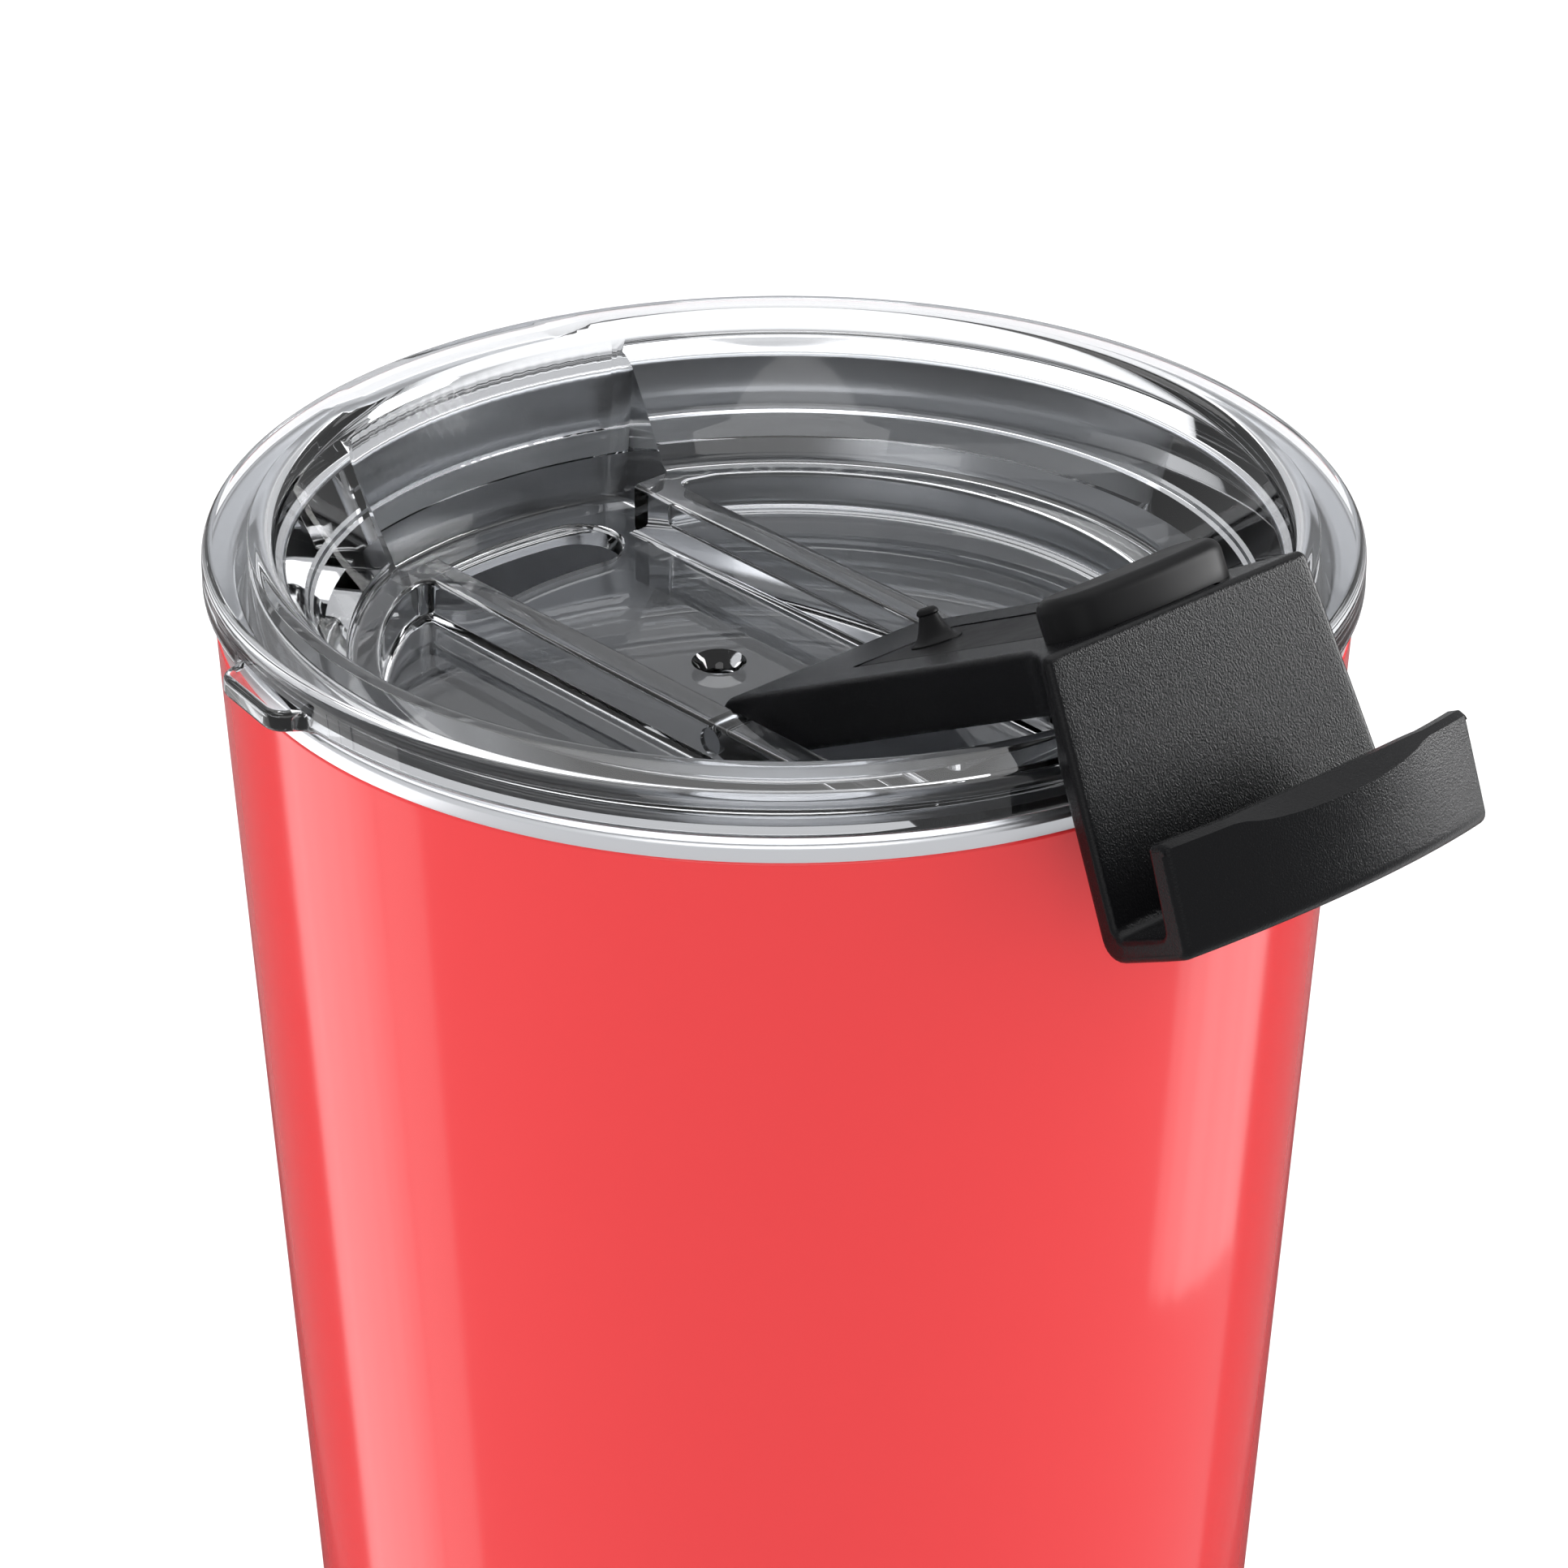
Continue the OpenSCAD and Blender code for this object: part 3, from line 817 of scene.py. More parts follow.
@dataclass
class Lid:
    """Clear press-in lid with its well, rails, slot, vent and tab, and the gasket."""

    flange_r: float = 46.74
    seat: float = 168.2
    rim: float = 172.0
    crest_rise: float = 0.5
    ledge: float = 161.2
    side_floor: float = 157.6
    channel_floor: float = 156.6
    under: float = 154.8
    crest_r: float = 42.4
    crest_round: float = 1.6
    wall_foot_r: float = 35.1
    pocket_r: float = 32.7
    plug_r: float = 42.1
    groove_z: float = 161.6
    groove_h: float = 2.4
    groove_r: float = 41.2
    panel_pocket_r: float = 40.5
    pocket_half: float = 14.4
    pocket_lean: float = 0.0723
    channel_w: float = 21.4
    rail_out: float = 13.8
    rail_end: float = 31.0
    slot_r: float = 33.13
    slot_w: float = 7.6
    slot_half_deg: float = 9.84
    vent_x: float = -8.0
    vent_r: float = 1.3
    dip_w: float = 27.5
    dip_z: float = 172.1
    tab_deg: float = -100.0
    tab_w: float = 10.0
    tab_out: float = 2.25
    tab_t: float = 1.8
    hinge_x: float = 6.3
    hinge_z: float = 159.4
    bore_r: float = 1.18

    def ring_profile(self) -> list[Point2]:
        """Profile of the turned blank: plug, gasket groove, flange, crest and well wall."""
        high, low = self.groove_z + self.groove_h / 2, self.groove_z - self.groove_h / 2
        foot = self.plug_r - 0.6
        top = self.rim + self.crest_rise
        side_r, top_r = 0.8, 1.1
        wall_top = arc(self.crest_r, top - self.crest_round, self.crest_round, 90, 168, 8)
        slope_end = (self.wall_foot_r + 0.35, self.ledge + 0.9)
        slope = [*between(wall_top[-1], slope_end, 4), slope_end]
        return [
            (0.0, self.under),
            *arc(foot - 1.0, self.under + 1.0, 1.0, -90, 0, 6),
            (self.plug_r - 0.1, low - 0.2), (self.plug_r - 0.3, low),
            (self.groove_r, low), (self.groove_r, high),
            (self.plug_r - 0.2, high), (self.plug_r, high + 0.2),
            (self.plug_r, self.seat - 0.5),
            *arc(self.plug_r + 0.5, self.seat - 0.5, 0.5, 180, 90, 4),
            *arc(self.flange_r - side_r, self.seat + side_r, side_r, -90, 0, 6),
            *arc(self.flange_r - top_r, self.rim - top_r, top_r, 0, 80, 9),
            *arc(self.crest_r + 0.5, top - 0.35, 0.35, 60, 90, 3),
            *wall_top, *slope,
            *arc(self.wall_foot_r - 0.55, self.ledge + 0.9, 0.9, 0, -90, 6),
            (0.0, self.ledge),
        ]

    def tab_outline(self) -> list[Point2]:
        """Outline of the pull tab, blended into the flange on both sides."""
        half, tip = self.tab_w / 2, self.flange_r + self.tab_out
        root, shoulder, neck = self.flange_r - 3.0, self.flange_r - 0.75, self.flange_r + 0.2
        wide = half + 1.6
        return rounded(
            [(root, -wide), (shoulder, -wide), (neck, -half), (tip, -half),
             (tip, half), (neck, half), (shoulder, wide), (root, wide)],
            [0, 0.5, 1.0, 2.1, 2.1, 1.0, 0.5, 0], 6)

    def side_outline(self, side: int) -> list[Point2]:
        """Outline of the pocket beside one rail.

        Args:
            side: 1 or -1, the side of the channel.

        Returns:
            The outline's points.
        """
        corner = 0.8
        inner_y = self.rail_out + corner
        start = math.degrees(math.asin(inner_y / self.pocket_r))
        stop_x = -(self.rail_end - 2.4)
        stop = math.degrees(math.acos((stop_x + corner) / self.pocket_r))
        curve = arc(0, 0, self.pocket_r, start, stop, 40)
        far_y = math.sqrt(self.pocket_r**2 - stop_x**2) - 0.9
        shape = [
            *arc(curve[0][0] - 0.9, inner_y, corner, -90, -10, 4), *curve, (stop_x, far_y),
            *arc(stop_x + corner, inner_y, corner, 180, 270, 4),
        ]
        return [(x, y * side) for x, y in shape]

    def channel_outline(self) -> list[Point2]:
        """Outline of the narrow channel between the rails."""
        half = self.channel_w / 2
        end = math.sqrt(self.pocket_r**2 - half**2)
        start = -self.rail_end - 2
        return rounded([(start, -half), (end, -half), (end, half), (start, half)], [0, 1.0, 1.0, 0])

    def wide_ring(self, z: float, inset: float) -> list[Point3]:
        """Outline at one height of the wide end that takes the lever's panel.

        Args:
            z: the height.
            inset: distance that the outline stands in from the walls.

        Returns:
            The outline's points.
        """
        half = self.pocket_half + self.pocket_lean * (z - self.channel_floor) - inset
        reach, start = self.panel_pocket_r - inset, -self.rail_end - inset
        fillet = 1.8
        turn = math.degrees(math.asin((half - fillet) / (reach - fillet)))
        centre_x = -math.sqrt((reach - fillet)**2 - (half - fillet)**2)
        shape = [
            *arc(start - 0.6, half - 0.6, 0.6, 0, 90, 3),
            *arc(centre_x, half - fillet, fillet, 90, 180 - turn, 5)[:-1],
            *arc(0, 0, reach, 180 - turn, 180 + turn, 24),
            *arc(centre_x, fillet - half, fillet, 180 + turn, 270, 5)[1:],
            *arc(start - 0.6, 0.6 - half, 0.6, 270, 360, 3),
        ]
        return [(x, y, z) for x, y in shape]

    def dip_outline(self, top: float) -> list[Point2]:
        """Outline, in Y and Z, of the shallow dip in the crest over the drinking slot."""
        half, long_ramp, short_ramp = self.dip_w / 2, 10.0, 4.0
        return [(-half - long_ramp, top), (short_ramp - half, self.dip_z),
                (half - short_ramp, self.dip_z), (half + long_ramp, top)]

    def vent_profile(self) -> list[Point2]:
        """Profile of the countersunk vent hole."""
        floor, low = self.channel_floor, self.under - 1
        return [
            (0.0, low), (self.vent_r, low), (self.vent_r, floor - 1.45),
            (self.vent_r + 0.1, floor - 1.3), (1.75, floor - 0.6),
            (2.3, floor + 0.02), (2.7, floor + 0.4), (0.0, floor + 0.4),
        ]

    def gasket_profile(self) -> list[Point2]:
        """Profile of the gasket, with its two lips."""
        mid, reach, root = self.groove_z, self.plug_r + 0.42, self.groove_r + 0.1
        half, edge_r = self.groove_h / 2 - 0.1, 0.2
        back = self.plug_r - edge_r
        return [
            (root, mid - half), *arc(back, mid - half + edge_r, edge_r, -90, 0, 2),
            *arc(reach - edge_r, mid - 0.6, edge_r, -60, 60, 4),
            (self.plug_r, mid - 0.2), (self.plug_r, mid + 0.2),
            *arc(reach - edge_r, mid + 0.6, edge_r, -60, 60, 4),
            *arc(back, mid + half - edge_r, edge_r, 0, 90, 2), (root, mid + half),
        ]

    def cutters(self, turning: TurnedTree, material: bpy.types.Material) -> list[bpy.types.Object]:
        """The solids that are cut from the turned blank.

        Args:
            turning: the turning tree.
            material: the clear finish.

        Returns:
            The cutters in order.
        """
        top = self.rim + self.crest_rise + 1.0
        made = [
            prism(f"side_cut_{i}", self.side_outline(s), self.side_floor, self.ledge + 0.2,
                  foot=0.7, flare=0.45, flare_at=self.ledge)
            for i, s in enumerate((1, -1))
        ]
        floor = self.channel_floor
        made.append(prism("channel_cut", self.channel_outline(), floor, self.ledge + 0.2,
                          foot=0.45, flare=0.4, flare_at=self.ledge))
        rounding = ((0.0, 0.45), (0.13, 0.17), (0.45, 0.0), (top - floor, 0.0))
        made.append(stacked("wide_cut", [
            self.wide_ring(floor + rise, inset) for rise, inset in rounding]))
        dip = self.dip_outline(top)
        made.append(stacked("dip_cut", [
            [(x, y, z) for y, z in dip] for x in (-self.flange_r - 1, -self.wall_foot_r)]))
        slot = band_outline(self.slot_r, self.slot_w / 2, self.slot_half_deg)
        made.append(prism("slot_cut", slot, self.under - 1, floor + 0.2,
                          flare=0.45, flare_at=floor))
        vent = turning.make("vent_cut", self.vent_profile(), material, 48)
        made.append(turned_over(vent, Matrix.Translation((self.vent_x * MM, 0, 0))))
        reach = self.rail_out - 0.5
        for i, s in enumerate((1, -1)):
            bore = turning.make(
                f"bore_{i}", [(0.0, 0.0), (self.bore_r, 0.0), (self.bore_r, reach), (0.0, reach)],
                material, 32)
            place = Matrix.Translation((self.hinge_x * MM, 0, self.hinge_z * MM))
            made.append(turned_over(bore, place @ Matrix.Rotation(math.radians(-90 * s), 4, "X")))
        return made

    def build(self, shop: Workshop) -> None:
        """Makes the lid and its gasket.

        Args:
            shop: the turning tree and finishes.
        """
        clear = shop.finish(CLEAR)
        lid = shop.turning.make("clear_lid", self.ring_profile(), clear, 192)
        tab = prism("tab", self.tab_outline(), self.seat + 0.02, self.seat + self.tab_t,
                    foot=0.5, crown=0.6)
        dress(tab, clear)
        turned_over(tab, Matrix.Rotation(math.radians(self.tab_deg), 4, "Z"))
        combined(lid, tab, Cut.ONTO)
        for cutter in self.cutters(shop.turning, clear):
            if not cutter.data.materials:
                dress(cutter, clear)
            combined(lid, cutter)
        fit(soften(lid, 38), "lid", "clear_plastic", "lid_body")
        gasket = shop.turning.make(
            "lid_gasket_ring", self.gasket_profile(), shop.finish(SILICONE), 160)
        fit(soften(gasket, 50), "lid", "gasket_silicone", "lid_gasket")


# ---------------------------------------------------------------- lever

@dataclass
class Lever:
    """Black flip lever with its seal strip, drink pad, vent plug and hinge pins."""

    hinge_x: float = 6.3
    hinge_z: float = 159.4
    open_deg: float = 153.5
    arm_t: float = 5.2
    arm_half: float = 10.3
    seal_z: float = 156.8
    panel_x: float = 37.33
    panel_t: float = 1.9
    panel_h: float = 23.5
    panel_half: float = 13.8
    panel_top_half: float = 15.5
    lip_half: float = 16.2
    lip_in: float = 46.7
    lip_h: float = 9.0
    lip_flare: float = 0.8
    flare_len: float = 6.6
    scoop: float = 1.7
    scoop_half: float = 10.2
    scoop_cut: float = 0.9
    edge: float = 0.55
    strip_half: float = 5.2
    strip_start: float = 10.1
    strip_t: float = 0.8
    groove: float = 0.35
    pad_half_w: float = 3.1
    pad_r: float = 33.13
    pad_half_deg: float = 9.84
    pad_h: float = 3.2
    plug_h: float = 2.8
    vent_x: float = -8.0

    @property
    def bridge_z(self) -> float:
        """Height of the top of the bridge, with the lever closed."""
        return self.seal_z + self.panel_h

    def opened(self) -> Matrix:
        """The turn from the closed place to the open one."""
        hinge = Vector((self.hinge_x, 0, self.hinge_z)) * MM
        turn = Matrix.Rotation(math.radians(self.open_deg), 4, "Y")
        return Matrix.Translation(hinge) @ turn @ Matrix.Translation(-hinge)

    def side_points(self) -> list[tuple[float, float, float]]:
        """Side view of the closed lever, anticlockwise, as (x, z, share of the scoop).

        Returns:
            The points. The third number is above 0 on the outer face of the lip, where the
            scoop's edge passes.
        """
        px, t, bz, sz = self.panel_x, self.panel_t, self.bridge_z, self.seal_z
        inner, outer = self.lip_in, self.lip_in + t
        low = bz - self.lip_h
        arm_top = sz + self.arm_t
        plain: list[Point2] = []
        plain += arc(-(px - 0.7), sz + 0.7, 0.7, 270, 180, 5)
        plain += between((-px, sz + 0.7), (-px, bz - t - 1.0), 8)
        plain += arc(-(px + 1.0), bz - t - 1.0, 1.0, 0, 90, 5)
        plain += between((-(px + 1.0), bz - t), (-(inner - 0.9), bz - t), 4)
        plain += arc(-(inner - 0.9), bz - t - 0.9, 0.9, 90, 180, 5)
        f_low = self.lip_flare
        plain += between((-inner, bz - t - 0.9), (-(inner + f_low), low + 0.5), 4)
        plain += arc(-(inner + f_low + 0.5), low + 0.5, 0.5, 0, -80, 4)
        first = [(x, z, 0.0) for x, z in plain]
        scoop = [(-(outer + f_low) + 0.5 * (1 - s), low, s) for s in (0.0, 0.35, 0.7, 1.0)]
        rest: list[Point2] = []
        rest += between((-(outer + f_low * 0.7), low + 2.8), (-outer, bz - 1.1), 4)
        rest += arc(-(outer - 1.1), bz - 1.1, 1.1, 180, 90, 5)
        rest += between((-(outer - 1.1), bz), (-(px - t + 2.0), bz), 5)
        rest += arc(-(px - t + 2.0), bz - 2.0, 2.0, 90, 0, 6)
        rest += between((-(px - t), bz - 2.0), (-(px - t), arm_top + 3.0), 6)
        rest += arc(-(px - t) + 3.0, arm_top + 3.0, 3.0, 180, 270, 6)
        rest += between((-(px - t) + 3.0, arm_top), (self.hinge_x, arm_top), 14)
        rest += arc(self.hinge_x, self.hinge_z, self.arm_t / 2, 90, -90, 14)
        rest += between((self.hinge_x, sz), (-(px - 0.7), sz), 16)
        return [*first, *scoop, *[(x, z, 0.0) for x, z in rest]]

    def half_width(self, x: float, z: float) -> float:
        """Half of the lever's width at a point of its side view.

        Args:
            x: place along X, closed.
            z: height, closed.

        Returns:
            The half width.
        """
        if x < -self.panel_x - 0.3:
            share = min(1.0, (-x - self.panel_x) / (self.lip_in - self.panel_x))
            return self.panel_top_half + (self.lip_half - self.panel_top_half) * share
        share = min(1.0, max(0.0, (z - self.seal_z) / self.panel_h))
        panel = self.panel_half + (self.panel_top_half - self.panel_half) * share
        past_start = -x - (self.panel_x - self.flare_len)
        flare = min(1.0, max(0.0, past_start / (self.flare_len - self.panel_t)))
        return self.arm_half + (panel - self.arm_half) * flare * flare

    def placed(self, x: float, z: float, share: float, y: float) -> Point3:
        """Where a point of the side view lies at distance y from the middle.

        Args:
            x: place along X in the side view.
            z: height in the side view.
            share: share of the way from the free edge to the scoop's edge, 0 elsewhere.
            y: distance from the middle plane.

        Returns:
            The point, closed.
        """
        low = self.bridge_z - self.lip_h
        if -x > self.panel_x + 0.5:
            follow = min(1.0, (-x - self.panel_x - 0.5) / (self.lip_in - self.panel_x - 1.4))
            x = x + follow * (-x - math.sqrt(x * x - y * y))
        if share > 0 or (z < low + 0.02 and -x > self.lip_in + self.lip_flare - 6):
            reach = self.scoop * math.sqrt(max(0.0, 1 - (y / self.scoop_half) ** 2))
            depth = self.scoop_cut * reach / self.scoop
            edge_round = 0.5
            z = low + share * max(reach, edge_round)
            if share < 1.0:
                x += depth * (1 - share)
        return (x, y, z)

    def body(self) -> bpy.types.Object:
        """The lever's own solid, closed, with rounded side edges.

        Returns:
            The solid.
        """
        side = self.side_points()
        normals = outward([(x, z) for x, z, _ in side])
        area = sum(a[0] * b[1] - b[0] * a[1] for a, b in zip(side, [*side[1:], side[0]]))
        turn = 1.0 if area > 0 else -1.0
        inner, ends = 30, 4
        rings = self._rings(side, normals, turn, inner, ends)
        return self._in_strips(stacked("flip_lever_body", rings))

    def _in_strips(self, made: bpy.types.Object, strips: int = 10) -> bpy.types.Object:
        """Cuts the two side faces into upright strips, so that they follow the shoulder.

        Args:
            made: the solid, closed.
            strips: number of strips along the shoulder.

        Returns:
            The solid.
        """
        work = bmesh.new()
        work.from_mesh(made.data)
        for face in sorted(work.faces, key=lambda f: len(f.verts))[-2:]:
            face.material_index = 1
        start = self.panel_x - self.panel_t - 0.05
        span = self.flare_len - self.panel_t + 0.4
        cuts = [start - span * k / strips for k in range(strips + 1)]
        for x in (*cuts, self.panel_x + 0.6, 0.0):
            caps = [f for f in work.faces if f.material_index == 1]
            parts = {item for f in caps for item in (f, *f.edges, *f.verts)}
            bmesh.ops.bisect_plane(
                work, geom=list(parts), plane_co=(-x * MM, 0, 0), plane_no=(1, 0, 0), dist=1e-7)
        for face in work.faces:
            face.material_index = 0
        work.to_mesh(made.data)
        work.free()
        return made

    def _rings(
        self, side: Sequence[tuple[float, float, float]], normals: Sequence[Vector], turn: float,
        inner: int, ends: int,
    ) -> list[list[Point3]]:
        """Copies of the side view from one side of the lever to the other.

        Args:
            side: the side view.
            normals: its outward normals.
            turn: 1 if it runs anticlockwise, else -1.
            inner: steps across the middle.
            ends: steps in each rounded side edge.

        Returns:
            One ring of points for each place across.
        """
        insets = [self.edge * (1 - math.sin(math.radians(90 * k / ends))) for k in range(ends)]
        places = [(-1.0, inset) for inset in insets]
        places += [(-1.0 + 2.0 * k / inner, 0.0) for k in range(inner + 1)]
        places += [(1.0, inset) for inset in reversed(insets)]
        rings = []
        for across, inset in places:
            ring = []
            for (x, z, scooped), n in zip(side, normals):
                y = across * (self.half_width(x, z) - self._edge_in(inset))
                px, py, pz = self.placed(x, z, scooped, y)
                ring.append((px - n.x * inset * turn, py, pz - n.y * inset * turn))
            rings.append(ring)
        return rings

    def _edge_in(self, inset: float) -> float:
        """How far in from the side a rounded edge is, where it stands inset from the face."""
        drop = 1 - inset / self.edge
        return self.edge * (1 - math.sqrt(max(0.0, 1 - drop * drop)))

    def strip_outline(self, grow: float, corner: float) -> list[Point2]:
        """Outline of the seal strip, or of its groove.

        Args:
            grow: distance added all round.
            corner: radius of the corners.

        Returns:
            The outline's points.
        """
        start = -self.panel_x + 1.0 - grow
        stop, half = self.hinge_x - self.strip_start + grow, self.strip_half + grow
        corners = [(start, -half), (stop, -half), (stop, half), (start, half)]
        return rounded(corners, [corner] * 4, 4)

    def plug_profile(self) -> list[Point2]:
        """Profile of the pointed vent plug, closed, with its hollow flank."""
        flank = (
            (2.1, 0.0), (2.1, 0.1), (1.7, 0.28), (1.42, 0.6), (1.18, 1.1), (0.95, 1.7), (0.78, 2.2))
        tip, tip_r = self.seal_z - self.plug_h, 0.45
        return [
            (0.0, self.seal_z), *[(r, self.seal_z - drop) for r, drop in flank],
            *arc(tip_r, tip + tip_r, tip_r, 0, -90, 4), (0.0, tip),
        ]

    def build(self, shop: Workshop, nodes: dict[str, bpy.types.Object]) -> None:
        """Makes the lever and what it carries.

        Args:
            shop: the turning tree and finishes.
            nodes: the CAD nodes.
        """
        black, satin = shop.finish(LEVER_BLACK), shop.finish(SEAL_BLACK)
        body = self.body()
        dress(body, black)
        cutter = prism("strip_cut", self.strip_outline(self.groove, 0.7),
                       self.seal_z - 1.0, self.seal_z + self.strip_t + 0.05)
        dress(cutter, black)
        combined(body, cutter)
        turned_over(body, self.opened())
        fit(soften(body, 36), "lever", "lever_black", "flip_lever")
        strip = prism("seal_strip_inlay", self.strip_outline(0.0, 0.6),
                      self.seal_z + 0.03, self.seal_z + self.strip_t, foot=0.2)
        pad = prism("drink_pad_soft", band_outline(self.pad_r, self.pad_half_w, self.pad_half_deg),
                    self.seal_z - self.pad_h, self.seal_z, foot=1.1)
        plug = shop.turning.make("vent_plug_soft", self.plug_profile(), satin, 48)
        turned_over(plug, Matrix.Translation((self.vent_x * MM, 0, 0)))
        for piece, node in ((strip, "seal_strip"), (pad, "drink_pad"), (plug, "vent_plug")):
            if not piece.data.materials:
                dress(piece, satin)
            turned_over(piece, self.opened())
            fit(soften(piece, 40), "lever", "seal_black", node)
        dress(nodes["hinge_pins"], shop.finish(LIP_STEEL))


# ---------------------------------------------------------------- studio

class Reach(Enum):
    """What a light panel acts on."""

    ALL = "all"
    GLOSS = "gloss"
    FILL = "fill"


@dataclass
class Studio:
    """Floor, soft lights and camera."""

    azimuth: float = 48.0
    distance: float = 0.4510
    height: float = 0.3878
    pitch: float = 27.97
    lens: float = 142.70
    floor_half: float = 6.0
    card_far: float = -1.2
    card_near: float = -0.023
    card_low: float = -0.3
    card_top: float = 0.166

    @staticmethod
    def matt(name: str, grey: float, rough: float, specular: float) -> bpy.types.Material:
        """A plain grey paint for the studio's own surfaces.

        Args:
            name: the paint's name.
            grey: its brightness, from 0 to 1.
            rough: its roughness.
            specular: strength of its reflection.

        Returns:
            The paint.
        """
        paint = bpy.data.materials.new(name)
        paint.use_nodes = True
        skin = paint.node_tree.nodes["Principled BSDF"]
        skin.inputs["Base Color"].default_value = (grey, grey, grey, 1)
        skin.inputs["Roughness"].default_value = rough
        skin.inputs["Specular IOR Level"].default_value = specular
        return paint

    def floor(self) -> None:
        """A plain pale floor."""
        work = bmesh.new()
        bmesh.ops.create_grid(work, x_segments=1, y_segments=1, size=self.floor_half)
        mesh = bpy.data.meshes.new("floor")
        work.to_mesh(mesh)
        work.free()
        made = in_scene("floor", mesh)
        mesh.materials.append(self.matt("pale_floor", 0.95, 0.9, 0.1))
        made.visible_glossy = False

    def panel(
        self, name: str, bearing: float, distance: float, height: float, size: Point2,
        radiance: float, reach: Reach = Reach.ALL, aim: float = 0.12,
    ) -> bpy.types.Object:
        """A soft light panel that faces the object.

        Args:
            name: the light's name.
            bearing: degrees round from the camera's side, positive to the right.
            distance: distance from the axis in metres.
            height: height of its middle in metres.
            size: width and height in metres.
            radiance: brightness of its face.
            reach: whether it shows only in gloss, only lights matt colour, or does both.
            aim: height of the point that it faces.

        Returns:
            The light.
        """
        lamp = bpy.data.lights.new(name, "AREA")
        lamp.shape = "RECTANGLE"
        lamp.size, lamp.size_y = size
        lamp.energy = radiance * math.pi * size[0] * size[1]
        made = in_scene(name, lamp)
        turn = math.radians(self.azimuth + bearing)
        made.location = (math.sin(turn) * distance, -math.cos(turn) * distance, height)
        facing = Vector((0, 0, aim)) - made.location
        made.rotation_euler = facing.to_track_quat("-Z", "Y").to_euler()
        made.visible_camera = False
        made.visible_diffuse = reach != Reach.GLOSS
        made.visible_transmission = reach == Reach.ALL
        made.visible_glossy = reach != Reach.FILL
        return made

    def graded_strip(
        self, name: str, side: int, heights: Point2, columns: Sequence[Point3], away: float = 0.1
    ) -> None:
        """A tall soft panel beside the object that is dimmer towards one edge.

        Args:
            name: the panel's name.
            side: 1 on the right of the camera's view, -1 on the left.
            heights: its lower and upper ends in metres.
            columns: start and end towards the camera in metres, and brightness, of each column.
            away: distance from the axis in metres.
        """
        for number, (start, stop, radiance) in enumerate(columns):
            middle = (start + stop) / 2
            bearing = side * (90 - math.degrees(math.atan2(middle, away)))
            tall = heights[1] - heights[0]
            self.panel(f"{name}_{number}", bearing, math.hypot(away, middle), sum(heights) / 2,
                       (stop - start, tall), radiance, Reach.GLOSS, aim=sum(heights) / 2)

    def dark_card(self, name: str, side: int, away: float = 0.1) -> None:
        """A dark board behind a graded strip, seen only in gloss.

        Args:
            name: the board's name.
            side: 1 on the right of the camera's view, -1 on the left.
            away: distance from the axis in metres.
        """
        turn = math.radians(self.azimuth)
        right = Vector((math.cos(turn), math.sin(turn), 0)) * side * away
        ahead = Vector((math.sin(turn), -math.cos(turn), 0))
        outline = ((self.card_near, self.card_low), (self.card_far, self.card_low),
                   (self.card_far, self.card_top), (self.card_near, self.card_top))
        corners = [right + ahead * y + Vector((0, 0, z)) for y, z in outline]
        mesh = bpy.data.meshes.new(name)
        mesh.from_pydata([tuple(c) for c in corners], [], [(0, 1, 2, 3)])
        board = in_scene(name, mesh)
        mesh.materials.append(self.matt(name, 0.2, 1.0, 0.0))
        for kind in ("camera", "diffuse", "transmission", "shadow"):
            setattr(board, f"visible_{kind}", False)

    def lights(self) -> None:
        """Soft light from above and long panels at both sides."""
        world = bpy.data.worlds.new("studio_room")
        bpy.context.scene.world = world
        world.use_nodes = True
        back = world.node_tree.nodes["Background"]
        back.inputs["Color"].default_value = (0.97, 0.98, 1.0, 1)
        back.inputs["Strength"].default_value = 0.64
        self.panel("overhead", 180, 0.35, 1.1, (1.3, 1.0), 1.5)
        self.panel("front_fill", -2, 1.3, 0.75, (1.2, 0.7), 1.5)
        self.panel("left_fill", -98, 1.0, 0.5, (1.1, 1.0), 1.75, Reach.FILL)
        self.panel("right_fill", 98, 1.0, 0.5, (1.1, 1.0), 1.85, Reach.FILL)
        self.panel("lever_sheen", 99, 0.25, 0.23, (0.12, 0.14), 21.0, Reach.GLOSS, aim=0.165)
        self.graded_strip("left_strip", -1, (0.005, 0.16), (
            (-0.020, -0.012, 1.05), (-0.012, -0.004, 1.18), (-0.004, 0.004, 1.28),
            (0.004, 0.012, 1.38), (0.012, 0.019, 1.42), (0.019, 0.024, 1.25),
            (0.024, 0.029, 1.05), (0.029, 0.048, 0.85)))
        self.graded_strip("right_strip", 1, (0.065, 0.16), (
            (-0.020, -0.012, 0.95), (-0.012, -0.004, 1.05), (-0.004, 0.006, 1.25),
            (0.006, 0.016, 1.5), (0.016, 0.024, 1.25), (0.024, 0.029, 0.9)))
        for side in (-1, 1):
            self.dark_card(f"dark_card_{side}", side)

    def camera(self) -> None:
        """The camera at its set viewing angle."""
        data = bpy.data.cameras.new("camera")
        data.sensor_width = 36.0
        data.lens = self.lens
        data.clip_start, data.clip_end = 0.01, 50.0
        made = in_scene("camera", data)
        turn = math.radians(self.azimuth)
        aside, back = math.sin(turn) * self.distance, -math.cos(turn) * self.distance
        made.location = (aside, back, self.height)
        made.rotation_euler = (math.radians(90 - self.pitch), 0, turn)
        bpy.context.scene.camera = made

    def build(self) -> None:
        """Sets up the whole studio."""
        self.floor()
        self.lights()
        self.camera()
        bpy.context.scene.view_settings.view_transform = "Standard"
        bpy.context.scene.view_settings.look = "None"
        LOG.info("studio ready")


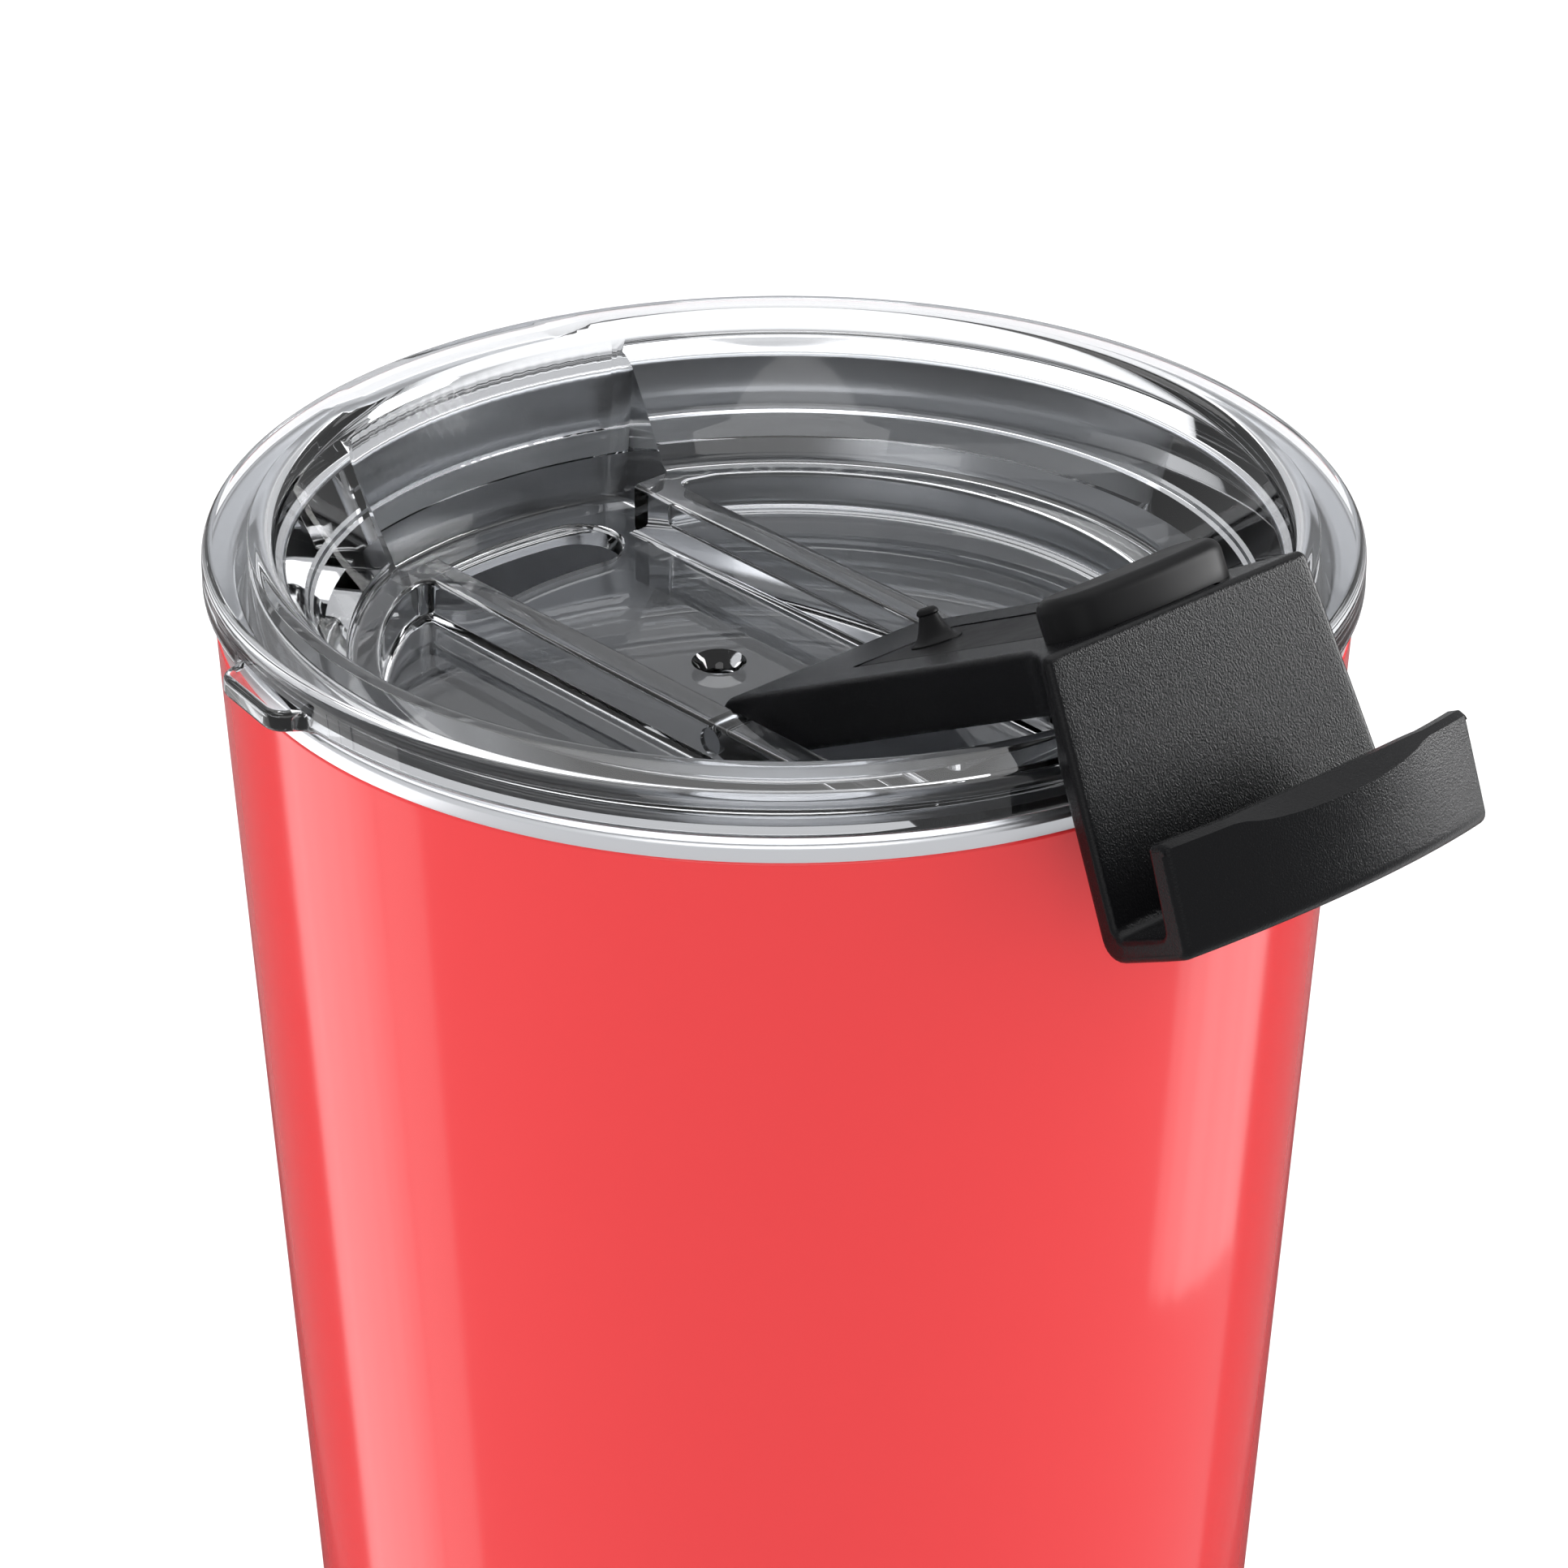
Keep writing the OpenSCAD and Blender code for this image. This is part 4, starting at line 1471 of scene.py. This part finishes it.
def main() -> None:
    """Builds the tumbler round the CAD frame."""
    logging.basicConfig(level=logging.INFO, format="%(name)s: %(message)s")
    for old in list(bpy.data.objects):
        bpy.data.objects.remove(old)
    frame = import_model()
    shop = Workshop()
    Vessel().build(shop, frame["nodes"])
    Lid().build(shop)
    Lever().build(shop, frame["nodes"])
    Studio().build()


if __name__ == "__main__":
    main()
